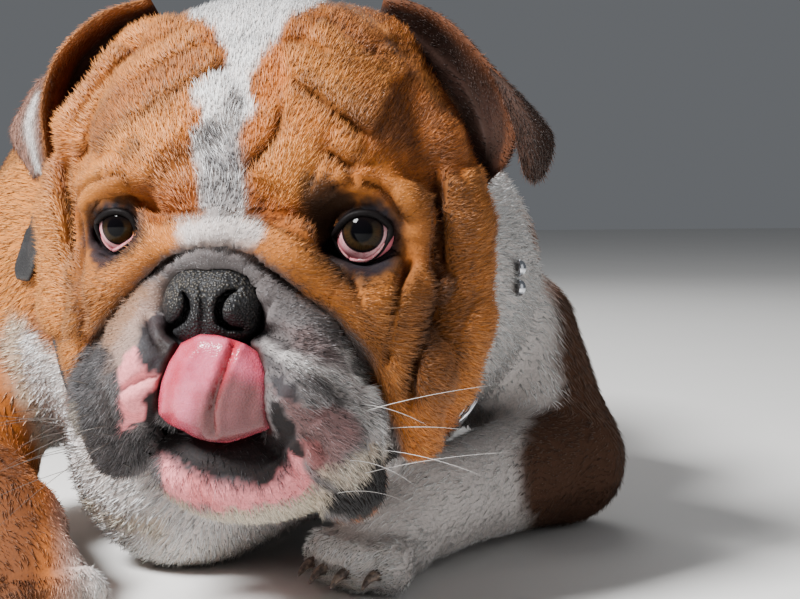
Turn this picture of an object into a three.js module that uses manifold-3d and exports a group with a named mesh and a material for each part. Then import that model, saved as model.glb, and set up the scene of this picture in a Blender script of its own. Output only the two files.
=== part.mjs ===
// English bulldog lying on its chest, head turned to its right, licking its nose.
// Millimetres, +Z up. The dog faces -Y, its left side is +X, and the origin is on
// the floor under its brisket.
import * as THREE from 'three';
import { mergeVertices } from 'three/addons/utils/BufferGeometryUtils.js';
import Module from 'manifold-3d';

const wasm = await Module();
wasm.setup();

// Driving dimensions
const GAP = 0.35;                       // clearance between touching sub-parts
const HEAD_AT = [-42, -265, 163];       // point between the eyes
const HEAD_YAW = -30;                   // head turned to the dog's right, degrees
const HEAD_PITCH = 4;
const HEAD_ROLL = 1.2;
const EYE_APART = 51.5;                 // each eye's distance from the middle plane
const EYE_BACK = 7;
const EYE_RADIUS = 12;
const NAPE_BACK = 66;                   // head and neck part here, in the head's frame
const CHEST_Y = -92;                    // neck and torso part here
const EAR_THICK = 3.6;
const STRAP_WIDE = 22;
const STRAP_THICK = 3;
const STUD_RADIUS = 4.4;

// The viewpoint from which the ear outlines are laid out: an 800 by 599 view
const SIGHT_AT = [-135.7, -866.2, 179.1];
const SIGHT_YAW = 15;
const SIGHT_PITCH = 4.174;
const SIGHT_REACH = 1500;
const SIGHT_MIDDLE = [400, 299.5];

const DEGREE = Math.PI / 180;

// Frames
const headTurn = new THREE.Matrix4().makeRotationZ(HEAD_YAW * DEGREE)
  .multiply(new THREE.Matrix4().makeRotationX(HEAD_PITCH * DEGREE))
  .multiply(new THREE.Matrix4().makeRotationY(HEAD_ROLL * DEGREE));
const turn = headTurn.elements;

function toHead(p) {
  const x = p[0] - HEAD_AT[0];
  const y = p[1] - HEAD_AT[1];
  const z = p[2] - HEAD_AT[2];
  return [
    x * turn[0] + y * turn[1] + z * turn[2],
    x * turn[4] + y * turn[5] + z * turn[6],
    x * turn[8] + y * turn[9] + z * turn[10],
  ];
}

function fromHead(q) {
  return [0, 1, 2].map((i) => HEAD_AT[i] + q[0] * turn[i] + q[1] * turn[4 + i] + q[2] * turn[8 + i]);
}

// A place seen at (u, v) in the view, so far away along the line of sight's axis
function seen(u, v, away) {
  const c = Math.cos(SIGHT_YAW * DEGREE);
  const s = Math.sin(SIGHT_YAW * DEGREE);
  const cp = Math.cos(SIGHT_PITCH * DEGREE);
  const sp = Math.sin(SIGHT_PITCH * DEGREE);
  const right = ((u - SIGHT_MIDDLE[0]) / SIGHT_REACH) * away;
  const up = ((SIGHT_MIDDLE[1] - v) / SIGHT_REACH) * away;
  const level = away * cp + up * sp;
  return [
    SIGHT_AT[0] + right * c + level * s,
    SIGHT_AT[1] - right * s + level * c,
    SIGHT_AT[2] + up * cp - away * sp,
  ];
}

// Shapes as signed distance functions: negative inside
function egg(at, radii, turnX = 0, turnY = 0, turnZ = 0) {
  const m = new THREE.Matrix4().makeRotationFromEuler(
    new THREE.Euler(turnX * DEGREE, turnY * DEGREE, turnZ * DEGREE, 'ZYX'));
  const e = m.elements;
  return (p) => {
    const dx = p[0] - at[0];
    const dy = p[1] - at[1];
    const dz = p[2] - at[2];
    const x = (dx * e[0] + dy * e[1] + dz * e[2]) / radii[0];
    const y = (dx * e[4] + dy * e[5] + dz * e[6]) / radii[1];
    const z = (dx * e[8] + dy * e[9] + dz * e[10]) / radii[2];
    const k0 = Math.hypot(x, y, z);
    const k1 = Math.hypot(x / radii[0], y / radii[1], z / radii[2]);
    return k1 < 1e-9 ? -Math.min(...radii) : (k0 * (k0 - 1)) / k1;
  };
}

function limb(a, b, ra, rb) {
  const ab = [b[0] - a[0], b[1] - a[1], b[2] - a[2]];
  const long = ab[0] ** 2 + ab[1] ** 2 + ab[2] ** 2;
  return (p) => {
    const pa = [p[0] - a[0], p[1] - a[1], p[2] - a[2]];
    const h = Math.min(Math.max((pa[0] * ab[0] + pa[1] * ab[1] + pa[2] * ab[2]) / long, 0), 1);
    return Math.hypot(pa[0] - ab[0] * h, pa[1] - ab[1] * h, pa[2] - ab[2] * h) - (ra + (rb - ra) * h);
  };
}

function meet(a, b, blend) {
  const h = Math.max(blend - Math.abs(a - b), 0) / blend;
  return Math.min(a, b) - h * h * blend * 0.25;
}

function carve(a, b, blend) {
  return -meet(-a, b, blend);
}

// Masses blended one after another, each with its own softness
function flesh(masses) {
  return (p) => masses.reduce((d, [shape, blend]) => (d === null ? shape(p) : meet(d, shape(p), blend)), null);
}

const mirrored = ([x, y, z]) => [-x, y, z];

function pairOf(at, radii, blend, turns = [0, 0, 0]) {
  return [
    [egg(at, radii, ...turns), blend],
    [egg(mirrored(at), radii, turns[0], -turns[1], -turns[2]), blend],
  ];
}

function fold(points, radii, blend, sides = [1, -1]) {
  return sides.flatMap((side) => points.slice(1).map((point, i) => {
    const a = side > 0 ? points[i] : mirrored(points[i]);
    const b = side > 0 ? point : mirrored(point);
    return [limb(a, b, radii[i], radii[i + 1]), blend];
  }));
}

// Head, in its own frame: x to the dog's left, y back, z up, from between the eyes
const headMasses = flesh([
  [egg([-5, 78, 24], [78, 80, 72]), 20],                  // skull
  [egg([0, 36, 44], [64, 46, 50]), 20],                   // forehead
  [egg([52, 62, -18], [37, 50, 68]), 20],                 // cheek muscle, dog's left
  [egg([-62, 62, -16], [36, 50, 70]), 20],                // cheek muscle, dog's right
  ...pairOf([36, 18, 30], [30, 24, 26], 14),              // brow
  ...pairOf([23, 3, 22], [17, 15, 20], 8),                // bulge between brow and blaze
  [egg([0, 24, -44], [48, 44, 44]), 14],                  // muzzle
  [egg([0, 4, -10], [26, 22, 22]), 12],                   // bridge
  ...fold([[-3, -13, -10], [14, -11, -15], [27, -8, -38]], [11, 11, 15], 9, [1]),   // arch round the nose
  ...fold([[3, -13, -10], [20, -11, -15], [30, -8, -38]], [11, 11, 14], 9, [-1]),
  ...pairOf([50, 12, -28], [26, 22, 22], 12),             // under the eye
  ...fold([[0, -20, 1], [30, -15, -5], [56, 0, -26], [72, 10, -56], [72, 14, -84]],
    [9, 11, 12, 12, 10], 5),                              // roll over the nose
  ...fold([[54, 36, 60], [71, 36, 34], [80, 36, 0], [83, 34, -40], [73, 30, -76]],
    [10, 13, 14, 14, 12], 5, [1]),                        // cheek roll, dog's left
  ...fold([[64, 36, 62], [84, 38, 34], [92, 40, 0], [91, 38, -40], [80, 32, -76]],
    [10, 13, 14, 14, 12], 5, [-1]),                       // cheek roll, dog's right
  [egg([30, 84, 74], [20, 18, 16]), 10],                  // root of the left ear
  [egg([-70, 84, 68], [20, 18, 18]), 10],                 // root of the right ear
  ...fold([[58, 8, 18], [70, 14, 4], [74, 16, -20]], [8, 8, 8], 6),
  ...fold([[34, 1, 16], [50, -2, 19], [67, 6, 12]], [5, 6, 5], 6),                // upper lid's hood
  ...fold([[12, -24, -52], [30, -22, -58], [42, -14, -76], [46, -4, -100]],
    [15, 20, 20, 17], 8, [1]),                            // upper lip, dog's left
  ...fold([[12, -24, -52], [33, -20, -56], [50, -10, -70], [52, -2, -90]],
    [15, 20, 19, 16], 8, [-1]),                           // upper lip, dog's right
  [egg([0, 48, -84], [58, 52, 40]), 16],                  // throat
]);

const eyeCentres = { left: [EYE_APART, EYE_BACK, 0], right: [-EYE_APART, EYE_BACK, 0] };
const LID_THICK = 2.2;
const LID_HALF = 17;                    // half the width of the lids' opening
const LID_RISE = 9.5;
const LID_DROOP = 11.5;

function headShape(q) {
  let d = headMasses(q);
  for (const eye of Object.values(eyeCentres)) {
    const socket = egg([eye[0], eye[1] - 13, eye[2] - 1], [21, 12, 16])(q);
    const ball = Math.hypot(q[0] - eye[0], q[1] - eye[1], q[2] - eye[2]);
    d = carve(d, socket, 8);
    d = meet(d, ball - EYE_RADIUS, 5);
  }
  return d;
}

// Nose pad with two comma-shaped nostrils and the cleft between them
const CLEFT_X = -1;
const nostrils = [
  [[[-9.5, -42, -20], [-8.5, -38, -28]], [2.2, 3]],
  [[[-8.5, -37, -28], [-15, -30, -35]], [3, 1.6]],
  [[[11, -36, -19], [4.5, -40, -24]], [2.6, 3]],
  [[[4.5, -40, -24], [4, -38, -33]], [3, 3]],
  [[[4, -37, -33], [12, -30, -36]], [2.8, 1.6]],
];

const noseMasses = flesh([
  [egg([-3, -22, -28], [15, 14, 15.5]), 1],
  [egg([5.5, -21, -26], [11.5, 14, 13.5]), 5],
  [egg([-11.5, -21, -27], [10.5, 14, 13.5]), 5],
  [egg([-3, -20, -35], [18, 13, 9]), 4],
]);

function noseShape(q) {
  const bored = nostrils.reduce((d, [[a, b], [ra, rb]]) => carve(d, limb(a, b, ra, rb)(q), 2), noseMasses(q));
  return carve(bored, limb([CLEFT_X, -38, -20], [CLEFT_X, -36, -44], 1.2, 1.4)(q), 2);
}

const jawShape = flesh([
  [egg([4, -12, -95], [38, 26, 22]), 1],
  [egg([6, 22, -96], [48, 40, 26]), 14],
]);

const tongueShape = flesh([
  [limb([-2, 10, -70], [2, -26, -64], 16, 16), 1],
  [egg([2, -35, -57], [23, 10, 22]), 8],
]);

// Body masses, in the dog's frame
const shoulderLeft = [138, -73, 97];
const elbowLeft = [154, -116, 35];
const wristLeft = [62, -186, 30];
const toesLeft = [34, -208, 22];
const shoulderRight = [-138, -70, 90];
const elbowRight = [-156, -108, 36];
const wristRight = [-134, -200, 30];
const toesRight = [-126, -232, 22];
const SHOULDER_RADIUS = 41;
const ELBOW_RADIUS = 33;
const WRIST_RADIUS = 24;

const bodyMasses = flesh([
  [egg([0, 60, 128], [150, 190, 138]), 1],                // rib cage
  [egg([0, 230, 112], [128, 130, 112]), 30],              // loin
  [egg([0, 290, 104], [108, 66, 92]), 30],                // rump
  ...pairOf([98, -80, 128], [54, 60, 78], 30),            // shoulder blade
  [egg([0, -80, 100], [104, 80, 85]), 30],                // chest
  ...pairOf([128, 245, 76], [44, 88, 72], 30),            // thigh
]);

const neckMasses = flesh([
  [limb([0, -60, 160], [0, -160, 160], 98, 90), 1],
  [egg([-4, -165, 90], [74, 60, 66]), 24],                // dewlap
  [egg([-48, -150, 60], [58, 52, 62]), 24],               // chest between the dewlap and the right foreleg
  ...pairOf([66, -132, 128], [58, 50, 66], 20),           // neck folds
]);

const BELOW = 4;                        // how far blanks run under the floor before it trims them

function wholeShape(p) {
  const head = headShape(toHead(p));
  const d = meet(meet(head, neckMasses(p), 10), bodyMasses(p), 24);
  return Math.max(d, -p[2] - BELOW);
}

// The body is parted by two planes: the head ends at the nape, the neck at the chest
const SPARE = 25;                       // how far a blank runs past the plane that ends it
const pastNape = (p) => toHead(p)[1] - NAPE_BACK;
const pastChest = (p) => p[1] - CHEST_Y;
const headSolid = (p) => Math.max(wholeShape(p), pastNape(p) - SPARE);
const neckSolid = (p) => Math.max(wholeShape(p), -pastNape(p) - SPARE, pastChest(p) - SPARE);
const torsoSolid = (p) => Math.max(wholeShape(p), -pastChest(p) - SPARE);

// Wrapping: each corner of a round start slides out from a spine until it meets the shape
function wrap(start, shape, from, to = from) {
  start.deleteAttribute('normal');
  start.deleteAttribute('uv');
  const geometry = mergeVertices(start, 1e-5);
  const at = geometry.attributes.position;
  const ab = [0, 1, 2].map((i) => to[i] - from[i]);
  const long = Math.max(ab[0] ** 2 + ab[1] ** 2 + ab[2] ** 2, 1e-9);
  for (let i = 0; i < at.count; i += 1) {
    const v = [at.getX(i), at.getY(i), at.getZ(i)];
    const h = Math.min(Math.max(v.reduce((s, c, k) => s + (c - from[k]) * ab[k], 0) / long, 0), 1);
    const foot = from.map((c, k) => c + ab[k] * h);
    const way = v.map((c, k) => c - foot[k]);
    const size = Math.hypot(...way);
    const dir = way.map((c) => c / size);
    const place = (t) => foot.map((c, k) => c + dir[k] * t);
    let near = 0;
    let far = 0.5;
    let d = shape(place(far));
    while (d < 0 && far < 600) {
      near = far;
      far += Math.max(-d * 0.7, 0.4);
      d = shape(place(far));
    }
    for (let n = 0; n < 14; n += 1) {
      const middle = (near + far) / 2;
      if (shape(place(middle)) < 0) near = middle;
      else far = middle;
    }
    at.setXYZ(i, ...place(far));
  }
  return geometry;
}

// Round starts: a ball whose rings crowd toward one end, and a capsule along a spine
function ball(centre, around, rings, toward = [0, 0, 1], crowd = 1) {
  const geometry = new THREE.SphereGeometry(1, around, rings);
  const at = geometry.attributes.position;
  const aim = new THREE.Quaternion().setFromUnitVectors(
    new THREE.Vector3(0, 1, 0), new THREE.Vector3(...toward).normalize());
  const v = new THREE.Vector3();
  for (let i = 0; i < at.count; i += 1) {
    v.fromBufferAttribute(at, i);
    const tilt = Math.acos(THREE.MathUtils.clamp(v.y, -1, 1));
    const spin = Math.atan2(v.z, v.x);
    const bent = Math.PI * (tilt / Math.PI) ** crowd;
    v.set(Math.sin(bent) * Math.cos(spin), Math.cos(bent), Math.sin(bent) * Math.sin(spin));
    v.applyQuaternion(aim);
    at.setXYZ(i, centre[0] + v.x, centre[1] + v.y, centre[2] + v.z);
  }
  return geometry;
}

function capsule(from, to, around, capRings, rows, toward = [0, -1, 0], crowd = 0) {
  const a = new THREE.Vector3(...from);
  const b = new THREE.Vector3(...to);
  const long = a.distanceTo(b);
  const geometry = new THREE.CapsuleGeometry(1, long, capRings, around, rows);
  const aim = new THREE.Quaternion().setFromUnitVectors(
    new THREE.Vector3(0, 1, 0), b.clone().sub(a).normalize());
  const face = new THREE.Vector3(...toward).applyQuaternion(aim.clone().invert());
  const front = Math.atan2(face.z, face.x);
  const at = geometry.attributes.position;
  for (let i = 0; i < at.count; i += 1) {
    const radius = Math.hypot(at.getX(i), at.getZ(i));
    const spin = Math.atan2(at.getZ(i), at.getX(i)) - front;
    const bent = front + spin - crowd * Math.sin(spin);
    at.setXYZ(i, radius * Math.cos(bent), at.getY(i), radius * Math.sin(bent));
  }
  geometry.applyQuaternion(aim);
  const middle = a.clone().add(b).multiplyScalar(0.5);
  geometry.translate(middle.x, middle.y, middle.z);
  return geometry;
}

// Closed solids
function solid(geometry) {
  const bare = geometry.clone();
  for (const name of Object.keys(bare.attributes)) {
    if (name !== 'position') bare.deleteAttribute(name);
  }
  const merged = mergeVertices(bare, 1e-4);
  const index = merged.index.array;
  const kept = [];
  for (let i = 0; i < index.length; i += 3) {
    const [a, b, c] = [index[i], index[i + 1], index[i + 2]];
    if (a !== b && b !== c && c !== a) kept.push(a, b, c);
  }
  return new wasm.Manifold(new wasm.Mesh({
    numProp: 3,
    vertProperties: new Float32Array(merged.attributes.position.array),
    triVerts: new Uint32Array(kept),
  }));
}

// A closed mesh whose faces may have been laid in either order
function outward(geometry) {
  const shape = solid(geometry);
  if (shape.volume() > 0) return shape;
  const faces = Array.from(geometry.index.array);
  geometry.setIndex(faces.map((unused, i) => faces[i - (i % 3) + 2 - (i % 3)]));
  return solid(geometry);
}

function largest(shape) {
  return shape.decompose().reduce((best, piece) => (piece.volume() > best.volume() ? piece : best));
}

function surface(shape) {
  const mesh = shape.getMesh();
  const geometry = new THREE.BufferGeometry();
  geometry.setAttribute('position', new THREE.BufferAttribute(Float32Array.from(mesh.vertProperties), 3));
  geometry.setIndex(new THREE.BufferAttribute(Uint32Array.from(mesh.triVerts), 1));
  geometry.computeVertexNormals();
  return geometry;
}

// The same solid with each corner moved out until every face at it has gone out by the
// clearance
function grown(shape) {
  const geometry = surface(shape);
  const at = geometry.attributes.position;
  const { normal } = geometry.attributes;
  const index = geometry.index.array;
  const corner = (n) => new THREE.Vector3().fromBufferAttribute(at, n);
  const least = new Float32Array(at.count).fill(1);
  for (let i = 0; i < index.length; i += 3) {
    const three = [index[i], index[i + 1], index[i + 2]];
    const [a, b, c] = three.map(corner);
    const face = b.sub(a).cross(c.sub(a)).normalize();
    for (const n of three) {
      least[n] = Math.min(least[n], face.dot(new THREE.Vector3().fromBufferAttribute(normal, n)));
    }
  }
  for (let i = 0; i < at.count; i += 1) {
    const step = GAP / Math.max(least[i], 0.3);
    at.setXYZ(i, at.getX(i) + normal.getX(i) * step, at.getY(i) + normal.getY(i) * step,
      at.getZ(i) + normal.getZ(i) * step);
  }
  return solid(geometry);
}

function cut(shape, ...tools) {
  return largest(tools.reduce((body, tool) => body.subtract(tool).subtract(grown(tool)), shape));
}

// All that lies under the floor, which leaves small flats at one level
const underfloor = new THREE.BoxGeometry(1200, 1200, 100);
underfloor.translate(0, 100, -50);
const floor = solid(underfloor);

// All that lies behind a plane at `start` along y, in the head's frame or the dog's
function behind(start, framed) {
  const big = 1200;
  const box = new THREE.BoxGeometry(big, big, big);
  box.translate(0, start + big / 2, 0);
  if (framed) {
    box.applyMatrix4(headTurn);
    box.translate(...HEAD_AT);
  }
  return solid(box);
}

const inHead = (shape) => (p) => shape(toHead(p));

// Eyes, nose, tongue and jaw come first; the head is cut to clear them
const eyes = Object.fromEntries(Object.entries(eyeCentres).map(([name, eye]) => {
  const centre = fromHead(eye);
  const round = (p) => Math.hypot(p[0] - centre[0], p[1] - centre[1], p[2] - centre[2]) - EYE_RADIUS;
  return [name, solid(wrap(ball(centre, 16, 10), round, centre))];
}));

const faceWay = fromHead([0, -1, 0]).map((c, i) => c - HEAD_AT[i]);
const noseCentre = fromHead([-3, -18, -27]);
const nose = solid(wrap(ball(noseCentre, 24, 15, faceWay, 1.2), inHead(noseShape), noseCentre));
const tongueRoot = fromHead([-2, 6, -70]);
const tongueTip = fromHead([2, -28, -60]);
const tongueWrap = wrap(capsule(tongueRoot, tongueTip, 18, 5, 4), inHead(tongueShape), tongueRoot, tongueTip);
const tongueBlank = solid(tongueWrap);
const tongue = cut(tongueBlank, nose);
const jawCentre = fromHead([6, 6, -94]);
const jawBlank = solid(wrap(ball(jawCentre, 22, 14, faceWay, 1), inHead(jawShape), jawCentre));
const jaw = cut(jawBlank, tongueBlank);

const crown = fromHead([0, 52, 34]);
const palate = fromHead([0, 30, -62]);
const headWrap = wrap(capsule(crown, palate, 46, 8, 16, faceWay, 0.5), headSolid, crown, palate);
const headBlank = solid(headWrap).subtract(behind(NAPE_BACK - GAP, true));

// Lids: a thick ball over each eye, open along an almond
function lids(eye, side) {
  const almond = new THREE.Shape();
  const steps = 9;
  const half = LID_HALF;
  for (let i = -steps; i <= steps; i += 1) {
    const x = (i / steps) * half;
    const z = LID_RISE * (1 - Math.abs(x / half) ** 2.2) - 0.1 * x;
    almond[i === -steps ? 'moveTo' : 'lineTo'](x * side, z);
  }
  for (let i = steps - 1; i > -steps; i -= 1) {
    const x = (i / steps) * half;
    almond.lineTo(x * side, -LID_DROOP * (1 - Math.abs(x / half) ** 1.7) - 0.1 * x);
  }
  const opening = new THREE.ExtrudeGeometry(almond, { depth: 60, bevelEnabled: false, steps: 1 });
  opening.rotateX(Math.PI / 2);
  opening.translate(eye[0], eye[1] - 4, eye[2]);
  opening.applyMatrix4(headTurn);
  opening.translate(...HEAD_AT);
  const centre = fromHead(eye);
  const round = (p) => Math.hypot(p[0] - centre[0], p[1] - centre[1], p[2] - centre[2])
    - EYE_RADIUS - LID_THICK;
  return { shell: solid(wrap(ball(centre, 20, 14, faceWay), round, centre)), opening: solid(opening) };
}

const lidLeft = lids(eyeCentres.left, 1);
const lidRight = lids(eyeCentres.right, -1);
const lidded = headBlank.add(lidLeft.shell).add(lidRight.shell)
  .subtract(lidLeft.opening).subtract(lidRight.opening);

const neckCentre = [4, -138, 130];
const neckWrap = wrap(ball(neckCentre, 32, 18, [0, -1, 0]), neckSolid, neckCentre);
const neckBlank = largest(solid(neckWrap).intersect(behind(NAPE_BACK, true)).subtract(behind(CHEST_Y - GAP, false)));
const torsoFrom = [0, -30, 100];
const torsoTo = [0, 230, 90];
const torsoWrap = wrap(capsule(torsoFrom, torsoTo, 28, 7, 8), torsoSolid, torsoFrom, torsoTo);
const torso = solid(torsoWrap).intersect(behind(CHEST_Y, false)).subtract(floor);

// Ears: thin sheets laid through rows of places as seen from the viewpoint, (u, v, away)
const leftEarShell = [
  [[374, 44, 672], [378, 22, 676], [384, -2, 668]],
  [[398, 46, 668], [405, 26, 672], [412, 2, 660]],
  [[424, 76, 668], [438, 52, 676], [450, 22, 652]],
  [[444, 104, 666], [464, 80, 676], [486, 60, 642]],
  [[458, 134, 664], [482, 112, 674], [512, 92, 634]],
  [[468, 166, 662], [490, 142, 670], [516, 134, 638]],
  [[478, 200, 660], [490, 180, 664], [503, 168, 644]],
];
const leftEarFlap = [
  [[488, 66, 640], [500, 78, 634], [512, 92, 636]],
  [[500, 92, 632], [520, 104, 626], [538, 118, 632]],
  [[514, 128, 628], [532, 130, 622], [553, 138, 628]],
  [[519, 152, 628], [534, 154, 622], [550, 160, 628]],
  [[526, 176, 630], [533, 180, 626], [540, 178, 630]],
];
const rightEarShell = [
  [[168, 34, 700], [160, 16, 704], [150, -2, 690]],
  [[140, 52, 700], [122, 30, 708], [104, 12, 682]],
  [[112, 82, 700], [84, 58, 708], [66, 44, 676]],
  [[90, 112, 700], [66, 92, 706], [48, 76, 670]],
  [[76, 146, 700], [58, 130, 704], [42, 112, 668]],
  [[70, 182, 698], [58, 168, 700], [46, 150, 670]],
  [[66, 204, 696], [60, 192, 696], [50, 178, 676]],
];
const rightEarFlap = [
  [[52, 72, 672], [46, 76, 678], [40, 82, 684]],
  [[46, 96, 672], [36, 98, 682], [26, 104, 690]],
  [[43, 122, 672], [27, 126, 684], [11, 132, 692]],
  [[44, 148, 674], [33, 152, 684], [21, 156, 690]],
  [[47, 170, 676], [41, 175, 682], [35, 178, 686]],
];

function sheet(rows, along, across) {
  const places = rows.map((row) => row.map((place) => new THREE.Vector3(...seen(...place))));
  const columns = places[0].map((unused, k) => new THREE.CatmullRomCurve3(places.map((row) => row[k])));
  const grid = [];
  for (let i = 0; i <= along; i += 1) {
    const row = new THREE.CatmullRomCurve3(columns.map((column) => column.getPoint(i / along)));
    grid.push(row.getPoints(across));
  }
  const wide = across + 1;
  const middle = new THREE.BufferGeometry();
  middle.setAttribute('position', new THREE.Float32BufferAttribute(grid.flat().flatMap((v) => [v.x, v.y, v.z]), 3));
  const index = [];
  for (let i = 0; i < along; i += 1) {
    for (let k = 0; k < across; k += 1) {
      const a = i * wide + k;
      index.push(a, a + 1, a + wide, a + 1, a + wide + 1, a + wide);
    }
  }
  middle.setIndex(index);
  middle.computeVertexNormals();
  const { position, normal } = middle.attributes;
  const count = position.count;
  const corners = [];
  for (const side of [EAR_THICK / 2, -EAR_THICK / 2]) {
    for (let i = 0; i < count; i += 1) {
      corners.push(position.getX(i) + normal.getX(i) * side, position.getY(i) + normal.getY(i) * side,
        position.getZ(i) + normal.getZ(i) * side);
    }
  }
  const faces = [...index];
  for (let i = 0; i < index.length; i += 3) {
    faces.push(index[i] + count, index[i + 2] + count, index[i + 1] + count);
  }
  const rim = [];
  for (let k = 0; k < across; k += 1) rim.push([k + 1, k], [along * wide + k, along * wide + k + 1]);
  for (let i = 0; i < along; i += 1) rim.push([i * wide, (i + 1) * wide], [(i + 2) * wide - 1, (i + 1) * wide - 1]);
  for (const [a, b] of rim) faces.push(a, b, b + count, a, b + count, a + count);
  const closed = new THREE.BufferGeometry();
  closed.setAttribute('position', new THREE.Float32BufferAttribute(corners, 3));
  closed.setIndex(faces);
  return outward(closed);
}

function ear(shell, flap) {
  return cut(sheet(shell, 12, 6).add(sheet(flap, 7, 4)), headBlank, neckBlank);
}

const ears = { left: ear(leftEarShell, leftEarFlap), right: ear(rightEarShell, rightEarFlap) };

// Collar: a strap sunk in the folds of the neck, two studs and a ring
const COLLAR_AT = [0, -150, 140];
const COLLAR_AXIS = new THREE.Vector3(0.078, 0.967, -0.24).normalize();
const COLLAR_LIFT = 1;                  // how far the strap's face stands off the coat
const collarSide = new THREE.Vector3(1, 0, 0).projectOnPlane(COLLAR_AXIS).normalize();
const collarUp = collarSide.clone().cross(COLLAR_AXIS).normalize();

function collarWay(angle) {
  return collarSide.clone().multiplyScalar(Math.cos(angle)).addScaledVector(collarUp, Math.sin(angle));
}

function neckRadius(angle) {
  const way = collarWay(angle).toArray();
  const place = (t) => COLLAR_AT.map((c, i) => c + way[i] * t);
  let t = 40;
  while (wholeShape(place(t)) < 0) t += 0.5;
  return t;
}

const COLLAR_STEPS = 40;
const rawRadii = Array.from({ length: COLLAR_STEPS }, (unused, i) => neckRadius((i / COLLAR_STEPS) * 2 * Math.PI));
const collarRadii = rawRadii.map((r, i) => [-2, -1, 0, 1, 2].reduce(
  (sum, k) => sum + rawRadii[(i + k + COLLAR_STEPS) % COLLAR_STEPS], 0) / 5);

function collarPlace(angle, lift) {
  const at = ((angle / (2 * Math.PI)) * COLLAR_STEPS + COLLAR_STEPS) % COLLAR_STEPS;
  const low = Math.floor(at);
  const radius = THREE.MathUtils.lerp(collarRadii[low], collarRadii[(low + 1) % COLLAR_STEPS], at - low);
  return new THREE.Vector3(...COLLAR_AT).addScaledVector(collarWay(angle), radius + lift);
}

// A flat band round the neck, its outer face so far off the coat
function band(lift, wide, thick) {
  const corners = [];
  const faces = [];
  for (let i = 0; i < COLLAR_STEPS; i += 1) {
    for (const [side, up] of [[-1, 0], [1, 0], [1, 1], [-1, 1]]) {
      const place = collarPlace((i / COLLAR_STEPS) * 2 * Math.PI, lift - thick * (1 - up));
      place.addScaledVector(COLLAR_AXIS, (side * wide) / 2);
      corners.push(place.x, place.y, place.z);
    }
    const a = i * 4;
    const b = ((i + 1) % COLLAR_STEPS) * 4;
    for (let k = 0; k < 4; k += 1) {
      const m = (k + 1) % 4;
      faces.push(a + k, b + k, b + m, a + k, b + m, a + m);
    }
  }
  const geometry = new THREE.BufferGeometry();
  geometry.setAttribute('position', new THREE.Float32BufferAttribute(corners, 3));
  geometry.setIndex(faces);
  return outward(geometry);
}

const turnOf = (degrees) => degrees * DEGREE;
const strap = band(COLLAR_LIFT, STRAP_WIDE, STRAP_THICK);
const GROOVE_OPEN = 14;                 // the strap's groove stays open this far above it
const groove = band(COLLAR_LIFT + GROOVE_OPEN, STRAP_WIDE + 2 * GAP, STRAP_THICK + GROOVE_OPEN + GAP);

const STUD_TURNS = [-1, -6];            // the two studs' places round the neck
const studs = STUD_TURNS.map((degrees) => {
  const foot = collarPlace(turnOf(degrees), COLLAR_LIFT + GAP).toArray();
  const out = collarWay(turnOf(degrees));
  const dome = (p) => Math.max(
    Math.hypot(p[0] - foot[0], p[1] - foot[1], p[2] - foot[2]) - STUD_RADIUS,
    -((p[0] - foot[0]) * out.x + (p[1] - foot[1]) * out.y + (p[2] - foot[2]) * out.z));
  const core = foot.map((c, i) => c + out.getComponent(i) * 1.2);
  return solid(wrap(ball(core, 10, 6, out.toArray()), dome, core));
});

const RING_TURN = -38;
const RING_RADIUS = 10;
const RING_WIRE = 1.6;
const ringWay = collarWay(turnOf(RING_TURN));
const ringDown = new THREE.Vector3(0, 0, -1).projectOnPlane(ringWay).normalize();
const ringCentre = collarPlace(turnOf(RING_TURN), COLLAR_LIFT + GAP + RING_WIRE + 3);
ringCentre.addScaledVector(ringDown, RING_RADIUS * 0.6);
const ringGeometry = new THREE.TorusGeometry(RING_RADIUS, RING_WIRE, 6, 16);
ringGeometry.applyQuaternion(new THREE.Quaternion().setFromUnitVectors(new THREE.Vector3(0, 0, 1), ringWay));
ringGeometry.translate(...ringCentre);
const ring = solid(ringGeometry);

const head = cut(lidded.subtract(groove), eyes.left, eyes.right, nose, tongueBlank, jawBlank);
const neck = largest(neckBlank.subtract(groove).subtract(floor));

// Legs
function paw(centre, toward, wide) {
  const way = new THREE.Vector3(toward[0] - centre[0], toward[1] - centre[1], 0).normalize();
  const across = new THREE.Vector3(-way.y, way.x, 0);
  const palm = egg([centre[0], centre[1], 18], [wide * 0.9, wide * 0.9, 19]);
  const onFloor = (shape) => (p) => Math.max(shape(p), -p[2] - BELOW);
  const core = [centre[0], centre[1], 14];
  const pieces = [solid(wrap(ball(core, 10, 6), onFloor(palm), core))];
  for (const step of [-1.5, -0.5, 0.5, 1.5]) {
    const reach = wide * (Math.abs(step) > 1 ? 0.72 : 0.95);
    const spread = step * wide * 0.46;
    const at = [centre[0] + way.x * reach + across.x * spread, centre[1] + way.y * reach + across.y * spread, 13];
    const toe = onFloor(egg(at, [11, 11, 13.5]));
    pieces.push(solid(wrap(ball(at, 8, 5), toe, at)));
    const claw = new THREE.ConeGeometry(2.6, 13, 5);
    claw.rotateZ(-Math.PI / 2 - 0.55);
    claw.rotateX(Math.PI / 2);
    const aim = Math.atan2(way.y, way.x);
    claw.rotateZ(aim);
    claw.translate(at[0] + way.x * 12, at[1] + way.y * 12, 8);
    pieces.push(solid(claw));
  }
  return largest(pieces.reduce((a, b) => a.add(b)).subtract(floor));
}

function bone(a, b, ra, rb, around, caps, rows) {
  const shape = limb(a, b, ra, rb);
  const blank = wrap(capsule(a, b, around, caps, rows), (p) => Math.max(shape(p), -p[2] - BELOW), a, b);
  return solid(blank).subtract(floor);
}

const pawLeft = paw(toesLeft, [toesLeft[0] - 30, toesLeft[1] - 22, 0], 27);
const pawRight = paw(toesRight, [toesRight[0] + 6, toesRight[1] - 40, 0], 27);

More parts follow.
